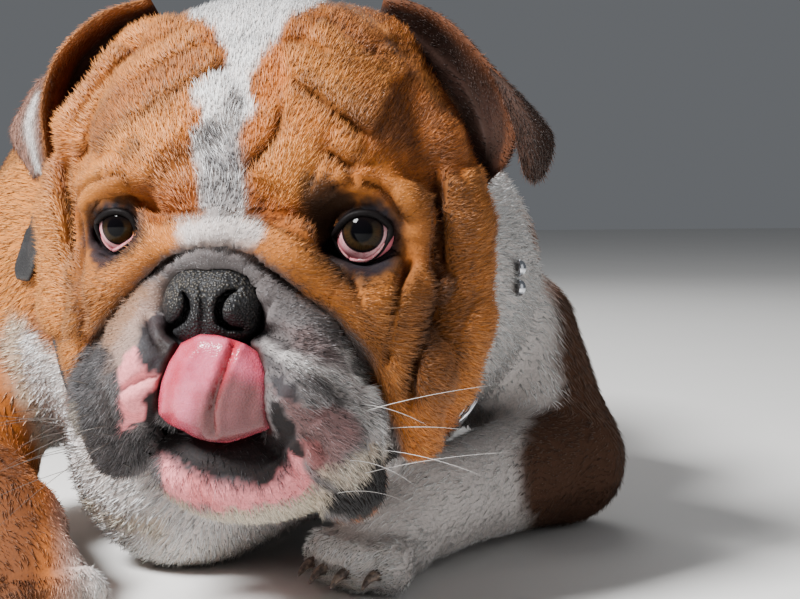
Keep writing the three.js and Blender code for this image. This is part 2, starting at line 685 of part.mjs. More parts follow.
function foreleg(shoulder, elbow, wrist, foot) {
  const upper = bone(shoulder, elbow, SHOULDER_RADIUS, ELBOW_RADIUS, 12, 3, 1);
  const lower = bone(elbow, wrist, ELBOW_RADIUS, WRIST_RADIUS, 12, 3, 3);
  return cut(upper.add(lower).subtract(groove), foot, torso, neckBlank, ring);
}

const forelegLeft = foreleg(shoulderLeft, elbowLeft, wristLeft, pawLeft);
const forelegRight = foreleg(shoulderRight, elbowRight, wristRight, pawRight);

function hindFoot(side) {
  const hock = [side * 140, 312, 28];
  const ball0 = [side * 150, 205, 22];
  const toes = [side * 150, 168, 20];
  const foot = paw(toes, [side * 150, 120, 0], 25);
  return { foot, shank: cut(bone(hock, ball0, 28, 22, 12, 3, 3), foot, torso) };
}

const hindLeft = hindFoot(1);
const hindRight = hindFoot(-1);
const clearFoot = (foot) => cut(foot, torso);

const tailRoot = [0, 352, 128];
const tailTip = [8, 376, 96];
const tail = cut(solid(wrap(capsule(tailRoot, tailTip, 12, 4, 3), limb(tailRoot, tailTip, 17, 9),
  tailRoot, tailTip)), torso);

// Materials
function coat(color, roughness = 0.85) {
  return new THREE.MeshStandardMaterial({ color, roughness, metalness: 0 });
}

const fawn = coat('#b8763f');
const white = coat('#e2ddd6');
const dark = coat('#4a3327');
const wetBlack = coat('#2b2a2c', 0.35);
const pink = coat('#d9727c', 0.3);
const amber = coat('#3a2413', 0.1);

const blackLeather = coat('#141314', 0.5);
const steel = new THREE.MeshStandardMaterial({ color: '#c8ccd2', roughness: 0.2, metalness: 1 });

const dog = new THREE.Group();

function place(name, shape, material) {
  const mesh = new THREE.Mesh(surface(shape), material);
  mesh.name = name;
  dog.add(mesh);
}

place('head', head, fawn);
place('neck', neck, white);
place('ear_left', ears.left, dark);
place('ear_right', ears.right, fawn);
place('torso', torso, fawn);
place('lower_jaw', jaw, white);
place('nose', nose, wetBlack);
place('tongue', tongue, pink);
place('eye_left', eyes.left, amber);
place('eye_right', eyes.right, amber);
place('collar_strap', strap, blackLeather);
place('collar_ring', ring, steel);
studs.forEach((stud, i) => place(`collar_stud_${i + 1}`, stud, steel));
place('foreleg_left', forelegLeft, white);
place('foreleg_right', forelegRight, fawn);
place('forepaw_left', pawLeft, white);
place('forepaw_right', pawRight, white);
place('hind_shank_left', hindLeft.shank, fawn);
place('hind_shank_right', hindRight.shank, fawn);
place('hind_paw_left', clearFoot(hindLeft.foot), white);
place('hind_paw_right', clearFoot(hindRight.foot), white);
place('tail', tail, fawn);

export default dog;
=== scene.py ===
"""A life-size still model of a fawn and white English bulldog, lying on its chest with its
head turned and its tongue over its nose."""
import math

import bpy
import numpy as np
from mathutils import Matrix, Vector


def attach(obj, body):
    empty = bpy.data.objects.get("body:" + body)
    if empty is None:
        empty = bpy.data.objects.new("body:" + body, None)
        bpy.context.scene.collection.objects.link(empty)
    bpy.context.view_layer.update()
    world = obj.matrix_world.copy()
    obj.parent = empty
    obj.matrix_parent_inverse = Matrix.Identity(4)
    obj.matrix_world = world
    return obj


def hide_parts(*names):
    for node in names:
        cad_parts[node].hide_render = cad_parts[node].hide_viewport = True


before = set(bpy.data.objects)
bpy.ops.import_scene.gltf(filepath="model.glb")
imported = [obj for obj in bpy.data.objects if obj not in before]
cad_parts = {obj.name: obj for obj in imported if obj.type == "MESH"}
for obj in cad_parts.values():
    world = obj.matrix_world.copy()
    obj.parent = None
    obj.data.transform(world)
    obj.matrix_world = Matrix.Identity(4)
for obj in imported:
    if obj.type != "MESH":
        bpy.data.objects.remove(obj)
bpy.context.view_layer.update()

bl_info = {
    "name": "English bulldog",
    "version": (1, 0, 0),
    "blender": (4, 5, 0),
    "location": "View3D > Sidebar > Bulldog",
    "description": "Builds a still model of an English bulldog piece by piece",
    "category": "Add Mesh",
}

# Shape of the dog in millimetres, in the dog's frame
HEAD_AT = np.array([-42.0, -265.0, 163.0])
HEAD_YAW = -30.0
HEAD_PITCH = 4.0
HEAD_ROLL = 1.2
EYE_APART = 51.5
EYE_BACK = 7.0
EYE_RADIUS = 12.0
CORNEA_RISE = 0.045
LID_THICK = 2.2
SIGHT_AT = np.array([-135.7, -866.2, 179.1])
SIGHT_YAW = 15.0
SIGHT_PITCH = 4.174
SIGHT_REACH = 1500.0
SIGHT_MIDDLE = (400.0, 299.5)
MILLI = 0.001

# Distances that places too far off to be measured are given, and how near to the middle
# of the head, to an eye and to the tongue a place is measured
FAR = 400.0
ASIDE = 60.0
HEAD_MIDDLE = np.array([0, 40, -10])
HEAD_SPAN = 190.0
EYE_SPAN = 34.0
TONGUE_SPAN = 62.0
TONGUE_AT = np.array([2, -10, -62])

# The skin's mesh and the coat's tufts
SKIN_BOX = ((-205, -350, -8), (205, 405, 300))
FOLD_LIMITS = (-7.5, 4.0)
FOLD_SETTLE = 1.2
FACE_DEEP = 74
EYE_DETAIL = 25
TUFTS_A_PIECE = 46000
NAPE_SHARE = 0.45
FACE_HAIR = 1.1
FACE_TUFT = (0.46, 4.2)
BODY_TUFT = (0.8, 8.0)
BARE_BY_RING = 17
BARE_FLOOR = 1.5
ROOT_SINK = 0.35
FLOOR_GAP = 0.2


def turned(axis, degrees):
    a = math.radians(degrees)
    c, s = math.cos(a), math.sin(a)
    table = {
        "X": [[1, 0, 0], [0, c, -s], [0, s, c]],
        "Y": [[c, 0, s], [0, 1, 0], [-s, 0, c]],
        "Z": [[c, -s, 0], [s, c, 0], [0, 0, 1]],
    }
    return np.array(table[axis], float)


HEAD_TURN = turned("Z", HEAD_YAW) @ turned("X", HEAD_PITCH) @ turned("Y", HEAD_ROLL)


def to_head(p):
    return (p - HEAD_AT) @ HEAD_TURN


def from_head(q):
    return np.asarray(q, float) @ HEAD_TURN.T + HEAD_AT


def sight_axes():
    c, s = math.cos(math.radians(SIGHT_YAW)), math.sin(math.radians(SIGHT_YAW))
    cp, sp = math.cos(math.radians(SIGHT_PITCH)), math.sin(math.radians(SIGHT_PITCH))
    right = np.array([c, -s, 0])
    ahead = np.array([s * cp, c * cp, -sp])
    up = np.array([s * sp, c * sp, cp])
    return right, ahead, up


RIGHT, AHEAD, UP = sight_axes()


def sight_line(u, v):
    """The way of sight through (u, v), one long along the view's axis."""
    across = (u - SIGHT_MIDDLE[0]) / SIGHT_REACH
    rise = (SIGHT_MIDDLE[1] - v) / SIGHT_REACH
    return AHEAD + across * RIGHT + rise * UP


def seen(u, v, away):
    """The place at (u, v) of the view, so far away along the line of sight's axis."""
    return SIGHT_AT + away * sight_line(u, v)


def sighted(p):
    """Where places lie in the view: u, v and the distance away."""
    r = p - SIGHT_AT
    away = r @ AHEAD
    u = SIGHT_MIDDLE[0] + SIGHT_REACH * (r @ RIGHT) / away
    v = SIGHT_MIDDLE[1] - SIGHT_REACH * (r @ UP) / away
    return np.stack([u, v], 1), away


def unit(v):
    return v / np.maximum(np.linalg.norm(v, axis=-1, keepdims=True), 1e-12)


def ease(x, low, high):
    t = np.clip((x - low) / (high - low), 0, 1)
    return t * t * (3 - 2 * t)


def egg(at, radii):
    at, radii = np.array(at, float), np.array(radii, float)

    def distance(p):
        q = (p - at) / radii
        near = np.linalg.norm(q, axis=-1)
        steep = np.linalg.norm(q / radii, axis=-1)
        return np.where(steep > 1e-9, near * (near - 1) / np.maximum(steep, 1e-9), -radii.min())

    return distance


def limb(a, b, ra, rb):
    a, b = np.array(a, float), np.array(b, float)
    ab = b - a

    def distance(p):
        h = np.clip(((p - a) @ ab) / (ab @ ab), 0, 1)
        return np.linalg.norm(p - a - h[..., None] * ab, axis=-1) - (ra + (rb - ra) * h)

    return distance


def meet(a, b, blend):
    h = np.maximum(blend - np.abs(a - b), 0) / blend
    return np.minimum(a, b) - h * h * blend * 0.25


def carve(a, b, blend):
    return -meet(-a, b, blend)


def flesh(masses, p):
    d = None
    for shape, blend in masses:
        d = shape(p) if d is None else meet(d, shape(p), blend)
    return d


def mirrored(at):
    return (-at[0], at[1], at[2])


def pair_of(at, radii, blend):
    return [(egg(at, radii), blend), (egg(mirrored(at), radii), blend)]


def roll(points, radii, blend, sides=(1, -1)):
    made = []
    for side in sides:
        way = points if side > 0 else [mirrored(at) for at in points]
        for i in range(len(way) - 1):
            made.append((limb(way[i], way[i + 1], radii[i], radii[i + 1]), blend))
    return made


HEAD_MASSES = [
    (egg((-5, 78, 24), (78, 80, 72)), 20),
    (egg((0, 36, 44), (64, 46, 50)), 20),
    (egg((52, 62, -18), (37, 50, 68)), 20),
    (egg((-62, 62, -16), (36, 50, 70)), 20),
    *pair_of((36, 18, 30), (30, 24, 26), 14),
    *pair_of((23, 3, 22), (17, 15, 20), 8),
    (egg((0, 24, -44), (48, 44, 44)), 14),
    (egg((0, 4, -10), (26, 22, 22)), 12),
    *roll([(-3, -13, -10), (14, -11, -15), (27, -8, -38)], [11, 11, 15], 9, (1,)),
    *roll([(3, -13, -10), (20, -11, -15), (30, -8, -38)], [11, 11, 14], 9, (-1,)),
    *pair_of((50, 12, -28), (26, 22, 22), 12),
    *roll([(0, -20, 1), (30, -15, -5), (56, 0, -26), (72, 10, -56), (72, 14, -84)],
          [9, 11, 12, 12, 10], 5),
    *roll([(54, 36, 60), (71, 36, 34), (80, 36, 0), (83, 34, -40), (73, 30, -76)],
          [10, 13, 14, 14, 12], 5, (1,)),
    *roll([(-64, 36, 62), (-84, 38, 34), (-92, 40, 0), (-91, 38, -40), (-80, 32, -76)],
          [10, 13, 14, 14, 12], 5, (1,)),
    (egg((30, 84, 74), (20, 18, 16)), 10),
    (egg((-70, 84, 68), (20, 18, 18)), 10),
    *roll([(58, 8, 18), (70, 14, 4), (74, 16, -20)], [8, 8, 8], 6),
    *roll([(34, 1, 16), (50, -2, 19), (67, 6, 12)], [5, 6, 5], 6),
    *roll([(12, -24, -52), (30, -22, -58), (42, -14, -76), (46, -4, -100)],
          [15, 20, 20, 17], 8, (1,)),
    *roll([(12, -24, -52), (33, -20, -56), (50, -10, -70), (52, -2, -90)],
          [15, 20, 19, 16], 8, (-1,)),
    (egg((0, 48, -84), (58, 52, 40)), 16),
]
JAW_MASSES = [(egg((4, -12, -95), (38, 26, 22)), 1), (egg((6, 22, -96), (48, 40, 26)), 14)]
TONGUE_MASSES = [(limb((-2, 10, -70), (2, -26, -64), 16, 16), 1), (egg((2, -35, -57), (23, 10, 22)), 8)]
NOSE_MASSES = [
    (egg((-3, -22, -28), (15, 14, 15.5)), 1),
    (egg((5.5, -21, -26), (11.5, 14, 13.5)), 5),
    (egg((-11.5, -21, -27), (10.5, 14, 13.5)), 5),
    (egg((-3, -20, -35), (18, 13, 9)), 4),
]
BODY_MASSES = [
    (egg((0, 60, 128), (150, 190, 138)), 1),
    (egg((0, 230, 112), (128, 130, 112)), 30),
    (egg((0, 290, 104), (108, 66, 92)), 30),
    *pair_of((98, -80, 128), (54, 60, 78), 30),
    (egg((0, -80, 100), (104, 80, 85)), 30),
    *pair_of((128, 245, 76), (44, 88, 72), 30),
]
NECK_MASSES = [
    (limb((0, -60, 160), (0, -160, 160), 98, 90), 1),
    (egg((-4, -165, 90), (74, 60, 66)), 24),
    (egg((-48, -150, 60), (58, 52, 62)), 24),
    *pair_of((66, -132, 128), (58, 50, 66), 20),
]
SHOULDERS = [(138, -73, 97), (-138, -70, 90)]
ELBOWS = [(154, -116, 35), (-156, -108, 36)]
WRISTS = [(62, -186, 30), (-134, -200, 30)]
FORE_TOES = [(34, -208, 22), (-126, -232, 22)]
FORE_AIMS = [(-30, -22), (6, -40)]
HOCKS = [(140, 312, 28), (-140, 312, 28)]
HIND_BALLS = [(150, 205, 22), (-150, 205, 22)]
HIND_TOES = [(150, 168, 20), (-150, 168, 20)]
TAIL = [(0, 352, 128), (8, 376, 96)]
FORE_WIDE = 27.0
HIND_WIDE = 25.0


def paw_parts(centre, aim, wide):
    """The palm and four toes of a paw, and where its claws stand and point."""
    way = unit(np.array([aim[0], aim[1], 0.0]))
    across = np.array([-way[1], way[0], 0.0])
    masses = [(egg((centre[0], centre[1], 18), (wide * 0.9, wide * 0.9, 19)), 6)]
    claws = []
    for step in (-1.5, -0.5, 0.5, 1.5):
        reach = wide * (0.72 if abs(step) > 1 else 0.95)
        at = np.array([centre[0], centre[1], 13.0]) + way * reach + across * step * wide * 0.46
        masses.append((egg(at, (11, 11, 13.5)), 3))
        claws.append((at + way * 9 + np.array([0, 0, -2.0]), way))
    return masses, claws


def limb_masses():
    masses, claws = [], []
    for side in (0, 1):
        masses.append((limb(SHOULDERS[side], ELBOWS[side], 41, 33), 14))
        masses.append((limb(ELBOWS[side], WRISTS[side], 33, 24), 12))
        masses.append((limb(WRISTS[side], FORE_TOES[side], 24, 20), 10))
        masses.append((limb(HOCKS[side], HIND_BALLS[side], 28, 22), 16))
        masses.append((limb(HIND_BALLS[side], HIND_TOES[side], 22, 18), 10))
        for centre, aim, wide in ((FORE_TOES[side], FORE_AIMS[side], FORE_WIDE),
                                  (HIND_TOES[side], (0, -1), HIND_WIDE)):
            paw, own = paw_parts(centre, aim, wide)
            masses += paw
            claws += own
    masses.append((limb(TAIL[0], TAIL[1], 17, 9), 12))
    return masses, claws


LIMB_MASSES, CLAWS = limb_masses()
EYES = {"left": np.array([EYE_APART, EYE_BACK, 0.0]), "right": np.array([-EYE_APART, EYE_BACK, 0.0])}

# The lids' openings, as seen in the view
OPENINGS = {
    "left": [(326, 248), (337, 234), (343, 225), (351, 218), (362, 215), (374, 217), (383, 223),
             (388, 230), (386, 243), (378, 254), (367, 261), (353, 261), (340, 256)],
    "right": [(96, 230), (100, 221), (107, 215), (116, 213), (125, 215), (131, 220), (135, 229),
              (134, 238), (126, 245), (113, 252), (104, 247), (98, 238)],
}
TONGUE_OUTLINE = [
    (200, 334), (218, 335), (232, 339), (246, 344), (258, 352), (266, 363), (271, 377), (272, 397),
    (271, 415), (275, 432), (257, 434), (243, 439), (228, 443), (211, 442), (195, 438), (183, 431),
    (165, 424), (156, 415), (158, 397), (162, 380), (169, 362), (181, 343)
]
IRISES = {"left": ((361.5, 231), 8.3), "right": ((115.5, 227.5), 7.2)}


def line_distance(uv, points, closed=False):
    """Distance to a line of points, the side it lies on, and how far along it is."""
    points = np.array(points, float)
    if closed:
        points = np.vstack([points, points[:1]])
    best = np.full(len(uv), 1e9)
    side = np.zeros(len(uv))
    along = np.zeros(len(uv))
    steps = np.linalg.norm(np.diff(points, axis=0), axis=1)
    total = steps.sum()
    done = 0.0
    for i in range(len(points) - 1):
        a, b = points[i], points[i + 1]
        ab = b - a
        h = np.clip(((uv - a) @ ab) / (ab @ ab), 0, 1)
        r = uv - a - h[:, None] * ab
        d = np.linalg.norm(r, axis=1)
        turn = ab[0] * (uv[:, 1] - a[1]) - ab[1] * (uv[:, 0] - a[0])
        nearer = d < best - 1e-9
        best = np.where(nearer, d, best)
        side = np.where(nearer, np.sign(turn), side)
        along = np.where(nearer, (done + h * steps[i]) / total, along)
        done += steps[i]
    return best, side, along


def area_distance(uv, points):
    """Signed distance to an outline: negative inside."""
    best, _, _ = line_distance(uv, points, closed=True)
    inside = np.zeros(len(uv), bool)
    count = len(points)
    for i in range(count):
        a, b = points[i], points[(i + 1) % count]
        crosses = (a[1] > uv[:, 1]) != (b[1] > uv[:, 1])
        if a[1] == b[1]:
            continue
        x = a[0] + (uv[:, 1] - a[1]) * (b[0] - a[0]) / (b[1] - a[1])
        inside ^= crosses & (uv[:, 0] < x)
    return np.where(inside, -best, best)


def tongue_field(q):
    """The tongue: a thick sheet out of the mouth, its outline as seen in the view."""
    uv, away = sighted(from_head(q))
    body = meet(flesh(TONGUE_MASSES, q), egg((2, -32, -57), (29, 13, 28))(q), 4)
    edge = area_distance(uv, TONGUE_OUTLINE) * away / SIGHT_REACH
    return carve(body, 0.4 * np.clip(q[:, 1] + 24, 0, 10) - edge, 6)


def head_field(p):
    d = np.full(len(p), FAR)
    q = to_head(p)
    near = np.linalg.norm(q - HEAD_MIDDLE, axis=1) < HEAD_SPAN
    q, p = q[near], p[near]
    f = flesh(HEAD_MASSES, q)
    for name, eye in EYES.items():
        socket = egg((eye[0], eye[1] - 13, eye[2] - 1), (21, 12, 16))(q)
        f = carve(f, socket, 8)
        ball = np.linalg.norm(q - eye, axis=1)
        f = meet(f, ball - EYE_RADIUS - LID_THICK, 6)
        close = ball < EYE_SPAN
        gap = np.full(len(q), ASIDE)
        uv, away = sighted(p[close])
        gap[close] = area_distance(uv, OPENINGS[name]) * away / SIGHT_REACH
        gap = np.maximum(gap, q[:, 1] - eye[1] - 4)
        f = carve(f, gap, 1.5)
    f = carve(f, flesh(NOSE_MASSES, q) - 0.6, 3)
    tongue = np.full(len(q), ASIDE)
    close = np.linalg.norm(q - TONGUE_AT, axis=1) < TONGUE_SPAN
    tongue[close] = tongue_field(q[close]) + 1.2
    f = carve(f, tongue, 3)
    f = np.minimum(f, carve(flesh(JAW_MASSES, q), tongue, 4))
    d[near] = f
    return d


def trunk_field(p):
    return meet(meet(head_field(p), flesh(NECK_MASSES, p), 10), flesh(BODY_MASSES, p), 24)


def whole_field(p):
    return np.maximum(meet(trunk_field(p), flesh(LIMB_MASSES, p), 10), -p[:, 2])


def nets(field, low, high, cell):
    """A mesh of the field's surface: one corner in each cell that it crosses."""
    count = [int(math.ceil((high[i] - low[i]) / cell)) + 1 for i in range(3)]
    axes = [low[i] + cell * np.arange(count[i]) for i in range(3)]
    places = np.stack(np.meshgrid(*axes, indexing="ij"), -1).reshape(-1, 3)
    values = np.concatenate([field(part) for part in np.array_split(places, max(1, len(places) // 60000))])
    values = values.reshape(count)
    inside = values < 0
    offsets = [(i, j, k) for i in (0, 1) for j in (0, 1) for k in (0, 1)]
    corners = sum(inside[i:count[0] - 1 + i, j:count[1] - 1 + j, k:count[2] - 1 + k].astype(np.int8)
                  for i, j, k in offsets)
    active = (corners > 0) & (corners < 8)
    number = -np.ones(active.shape, int)
    number[active] = np.arange(active.sum())
    cells = np.argwhere(active)
    total = np.zeros((len(cells), 3))
    weight = np.zeros(len(cells))
    for a in range(8):
        for b in range(a + 1, 8):
            start, end = np.array(offsets[a]), np.array(offsets[b])
            if abs(start - end).sum() != 1:
                continue
            da = values[tuple((cells + start).T)]
            db = values[tuple((cells + end).T)]
            hit = (da < 0) != (db < 0)
            t = np.where(hit, da / np.where(hit, da - db, 1), 0)
            total += hit[:, None] * (start + t[:, None] * (end - start))
            weight += hit
    verts = np.array(low) + cell * (cells + total / weight[:, None])
    quads = []
    for axis in range(3):
        u, v = [x for x in range(3) if x != axis]
        first, second = [slice(None)] * 3, [slice(None)] * 3
        first[axis], second[axis] = slice(0, count[axis] - 1), slice(1, count[axis])
        a, b = inside[tuple(first)], inside[tuple(second)]
        edge = np.argwhere(a != b)
        for side in (u, v):
            edge = edge[(edge[:, side] > 0) & (edge[:, side] < count[side] - 1)]
        leaving = a[tuple(edge.T)]
        ring = []
        for du, dv in ((1, 1), (0, 1), (0, 0), (1, 0)):
            shifted = edge.copy()
            shifted[:, u] -= du
            shifted[:, v] -= dv
            ring.append(number[tuple(shifted.T)])
        quad = np.stack(ring, 1)
        if axis == 1:
            quad = quad[:, ::-1]
        quads.append(np.where(leaving[:, None], quad, quad[:, ::-1]))
    quads = np.concatenate(quads)
    quads = quads[(quads >= 0).all(1)]
    faces = np.concatenate([quads[:, [0, 1, 2]], quads[:, [0, 2, 3]]])
    return verts, faces


def slope(field, p, step=0.6):
    signs = np.array([[1, -1, -1], [-1, -1, 1], [-1, 1, -1], [1, 1, 1]], float)
    return unit(sum(sign * field(p + sign * step)[:, None] for sign in signs))


def drawn(field, p, rounds, level=0.0):
    """Places slid along the field's slope until they lie at the level."""
    for _ in range(rounds):
        d = field(p) - level
        p = p - slope(field, p) * np.clip(d, -4, 4)[:, None] * 0.9
    return p


def refined(verts, faces, chosen):
    """Faces whose corners are all chosen are split in four, and their neighbours to match."""
    whole = chosen[faces].all(1)
    edges = np.concatenate([faces[:, [0, 1]], faces[:, [1, 2]], faces[:, [2, 0]]])
    edges = np.sort(edges, 1)
    keys = edges[:, 0] * len(verts) + edges[:, 1]
    unique, back = np.unique(keys, return_inverse=True)
    marked = np.zeros(len(unique), bool)
    marked[back[np.tile(whole, 3)]] = True
    number = np.full(len(unique), -1)
    number[marked] = len(verts) + np.arange(marked.sum())
    pairs = np.stack([unique[marked] // len(verts), unique[marked] % len(verts)], 1)
    verts = np.concatenate([verts, verts[pairs].mean(1)])
    mid = number[back].reshape(3, -1).T
    on = mid >= 0
    count = on.sum(1)
    made = [faces[count == 0]]
    for shift in range(3):
        order = np.roll(np.arange(3), -shift)
        f, m, o = faces[:, order], mid[:, order], on[:, order]
        one = (count == 1) & o[:, 0]
        made += [np.stack([f[one, 0], m[one, 0], f[one, 2]], 1),
                 np.stack([m[one, 0], f[one, 1], f[one, 2]], 1)]
        two = (count == 2) & ~o[:, 2]
        made += [np.stack([m[two, 0], f[two, 1], m[two, 1]], 1),
                 np.stack([f[two, 0], m[two, 0], m[two, 1]], 1),
                 np.stack([f[two, 0], m[two, 1], f[two, 2]], 1)]
    four = count == 3
    f, m = faces[four], mid[four]
    made += [np.stack([f[:, 0], m[:, 0], m[:, 2]], 1), np.stack([m[:, 0], f[:, 1], m[:, 1]], 1),
             np.stack([m[:, 2], m[:, 1], f[:, 2]], 1), m]
    return verts, np.concatenate(made)


def corner_normals(verts, faces):
    a, b, c = (verts[faces[:, i]] for i in range(3))
    face = np.cross(b - a, c - a)
    total = np.zeros_like(verts)
    for i in range(3):
        for k in range(3):
            total[:, k] += np.bincount(faces[:, i], face[:, k], len(verts))
    return unit(total)


def ripple(p, scale, seed):
    """A smooth uneven pattern between 0 and 1, its patches about `scale` millimetres wide."""
    dice = np.random.default_rng(seed)
    total = np.zeros(len(p))
    for _ in range(9):
        way = unit(dice.normal(size=3)) * (2 * math.pi / (scale * dice.uniform(1.2, 3.2)))
        total += np.sin(p @ way + dice.uniform(0, 6.28) + 1.5 * np.sin(p[:, [1, 2, 0]] @ way * 0.6))
    return 1 / (1 + np.exp(-total * 0.9))


# Folds of the face as seen in the view: points, depth and width of the crease in
# millimetres, height of the roll beside it, the side that the roll lies on, and how much
# painted shade the crease gets
CREASES = [
    ([(217, 47), (205, 52), (190, 58), (172, 68), (156, 77), (140, 87), (126, 100), (114, 116), (103, 134),
      (93, 152), (84, 168)], 2.6, 2.6, 2.0, -1, 0.5),
    ([(190, 24), (175, 38), (152, 48), (132, 58), (114, 72), (98, 92), (84, 116), (72, 142)],
     2.2, 3.0, 1.6, 1, 0.45),
    ([(232, 68), (205, 80), (192, 88), (176, 98), (162, 107), (148, 117), (134, 125), (120, 135),
      (108, 149), (98, 166)], 3.6, 2.2, 2.4, -1, 0.8),
    ([(152, 147), (141, 151), (133, 159), (127, 168)], 3.4, 2.2, 1.2, 1, 0.9),
    ([(77, 206), (84, 193), (95, 183), (108, 177), (122, 174), (136, 179)], 2.0, 1.2, 0.8, -1, 0.6),
    ([(66, 150), (66, 176), (70, 205), (76, 226), (79, 250), (82, 275), (86, 300), (87, 320), (85, 345)],
     3.2, 3.6, 2.6, 1, 0.8),
    ([(292, 77), (298, 85), (307, 93), (318, 100), (328, 107), (338, 116), (348, 123), (357, 131),
      (369, 138)], 3.6, 2.4, 2.4, -1, 0.85),
    ([(284, 104), (282, 118), (279, 132), (273, 143), (262, 154), (253, 164), (246, 178)],
     2.4, 1.8, 1.4, -1, 0.6),
    ([(278, 44), (296, 43), (312, 50), (327, 62), (345, 73), (366, 82)], 2.2, 2.4, 1.4, 1, 0.35),
    ([(322, 18), (338, 30), (350, 42), (362, 52), (380, 62)], 3.6, 3.0, 1.5, 1, 0.8),
    ([(384, 38), (396, 46), (406, 58), (414, 74)], 2.5, 2.6, 1.2, 1, 0.7),
    ([(325, 154), (338, 160), (347, 168), (355, 176)], 3.2, 2.2, 1.4, 1, 0.9),
    ([(322, 190), (336, 185), (351, 182), (366, 182), (378, 186), (388, 195), (398, 208), (408, 223)],
     2.2, 1.3, 0.9, -1, 0.6),
    ([(434, 166), (438, 195), (439, 230), (438, 262), (434, 288), (427, 308), (421, 330), (416, 355),
      (412, 385), (408, 415)], 6.5, 3.0, 2.4, -1, 1.0),
    ([(414, 258), (404, 278), (395, 295), (390, 315), (389, 338), (393, 366)], 4.5, 3.0, 1.8, -1, 0.75),
    ([(474, 292), (464, 312), (456, 335), (447, 355), (438, 376), (426, 400)], 2.2, 3.0, 1.4, 1, 0.4),
    ([(455, 168), (460, 190), (462, 215), (463, 240)], 1.6, 2.6, 1.2, -1, 0.3),
    ([(180, 251), (161, 262), (146, 277), (132, 291), (119, 305), (109, 322), (100, 336), (88, 348)],
     5.0, 2.2, 1.6, 1, 1.0),
    ([(256, 257), (275, 268), (292, 281), (306, 294), (322, 308), (336, 320), (348, 333), (362, 350),
      (374, 372)], 5.0, 2.2, 1.6, -1, 1.0),
    ([(160, 228), (182, 221), (205, 218), (236, 217), (263, 222)], 4.0, 2.2, 1.8, 1, 0.6),
    ([(160, 228), (147, 236), (134, 247), (120, 261), (109, 278), (100, 298), (94, 318)],
     2.4, 2.0, 1.4, -1, 0.4),
    ([(263, 222), (288, 232), (312, 248), (332, 262), (348, 280), (359, 300), (371, 322), (382, 345),
      (392, 368)], 2.6, 2.4, 1.2, 1, 0.45),
    ([(165, 268), (180, 256), (200, 248), (222, 247), (243, 252), (260, 264), (272, 278)],
     1.2, 1.6, 0.8, -1, 0.1),
    ([(157, 272), (168, 259), (185, 249), (205, 243), (226, 244), (246, 250), (262, 262), (278, 278),
      (294, 296)], 2.6, 1.6, 1.4, 1, 0.3),
    ([(146, 316), (150, 332), (158, 345), (166, 356)], 1.2, 1.6, 0.6, 1, 0.2),
    ([(118, 392), (130, 386), (142, 379), (158, 376)], 1.6, 1.4, 0.8, 1, 0.15),
    ([(103, 386), (108, 410), (112, 432)], 1.2, 2.0, 0.8, 1, 0.2),
    ([(300, 366), (322, 384), (344, 402)], 1.6, 2.2, 0.9, 1, 0.25),
    ([(283, 348), (310, 352), (335, 362), (352, 380)], 2.6, 2.2, 1.6, 1, 0.3),
    ([(262, 328), (284, 336), (308, 341), (332, 350)], 2.2, 2.2, 1.4, -1, 0.25),
    ([(352, 392), (366, 412), (374, 436), (372, 458)], 2.2, 2.4, 1.4, -1, 0.25),
    ([(300, 430), (316, 446), (328, 464)], 1.8, 2.2, 1.0, 1, 0.2),
]

NOSE_PLACE = np.array([-3.0, -34.0, -30.0])


def folded(verts, faces, face_mask):
    """The folds of the face pressed into the skin, the painted shade of each place, and the painted highlight
    on the rolls.
    """
    uv, away = sighted(verts)
    close = np.flatnonzero(face_mask > 0.01)
    spot, scale = uv[close], away[close] / SIGHT_REACH
    push = np.zeros(len(close))
    dark = np.zeros(len(close))
    for points, depth, wide, height, side, shade in CREASES:
        d, turn, along = line_distance(spot, points)
        ends = ease(along, 0.0, 0.12) * (1 - ease(along, 0.86, 1.0)) + 0.12
        s = d * scale
        crease = np.exp(-(s / wide) ** 2)
        x = s / (2.8 * wide)
        swell = 1.6 * x * np.exp(1 - x) * (1 - ease(s, 7 * wide, 12 * wide))
        ridge = np.where(turn * side > 0, swell, 0.5 * swell)
        push += ends * (1.5 * height * ridge - depth * crease)
        gloom = 0.7 * np.exp(-(s / (1.5 * wide)) ** 2) + 0.3 * np.exp(-s / (3.5 * wide))
        dark = np.maximum(dark, ends * shade * gloom)
    push = np.clip(push - FOLD_SETTLE, *FOLD_LIMITS)
    for opening in OPENINGS.values():
        push *= ease(area_distance(spot, opening), 2, 16)
    out = verts.copy()
    for _ in range(2):
        normals = corner_normals(out, faces)[close]
        out[close] += normals * (push * face_mask[close] * 0.5)[:, None]
    shade, ridge_highlight = np.zeros(len(verts)), np.zeros(len(verts))
    shade[close] = dark * face_mask[close]
    # Where the skin is pushed up into a roll it gets painted highlight
    ridge_highlight[close] = ease(push, 0.6, 3.6) * face_mask[close]
    return out, shade, ridge_highlight


# Colours of the coat and the bare skin, and of painted shade
COLOURS = {
    "fawn": (0.46, 0.145, 0.026),
    "gold": (0.66, 0.26, 0.055),
    "russet": (0.26, 0.070, 0.016),
    "brown": (0.12, 0.045, 0.020),
    "ash": (0.21, 0.20, 0.205),
    "shade": (0.055, 0.026, 0.014),
    "white": (0.90, 0.89, 0.88),
    "cream": (0.70, 0.60, 0.46),
    "grey": (0.16, 0.155, 0.16),
    "slate": (0.045, 0.044, 0.048),
    "black": (0.014, 0.013, 0.014),
    "pink": (0.82, 0.27, 0.29),
    "flush": (0.55, 0.15, 0.15),
    "tan": (0.36, 0.20, 0.11),
    "umber": (0.045, 0.026, 0.016),
    "bark": (0.125, 0.066, 0.042),
    "dusk": (0.026, 0.027, 0.038),
    # Pink skin darkened as painted shade
    "pink_in_shade": (0.22, 0.125, 0.125),
    "pale": (0.42, 0.30, 0.25),
    "ink": (0.010, 0.010, 0.014),
}

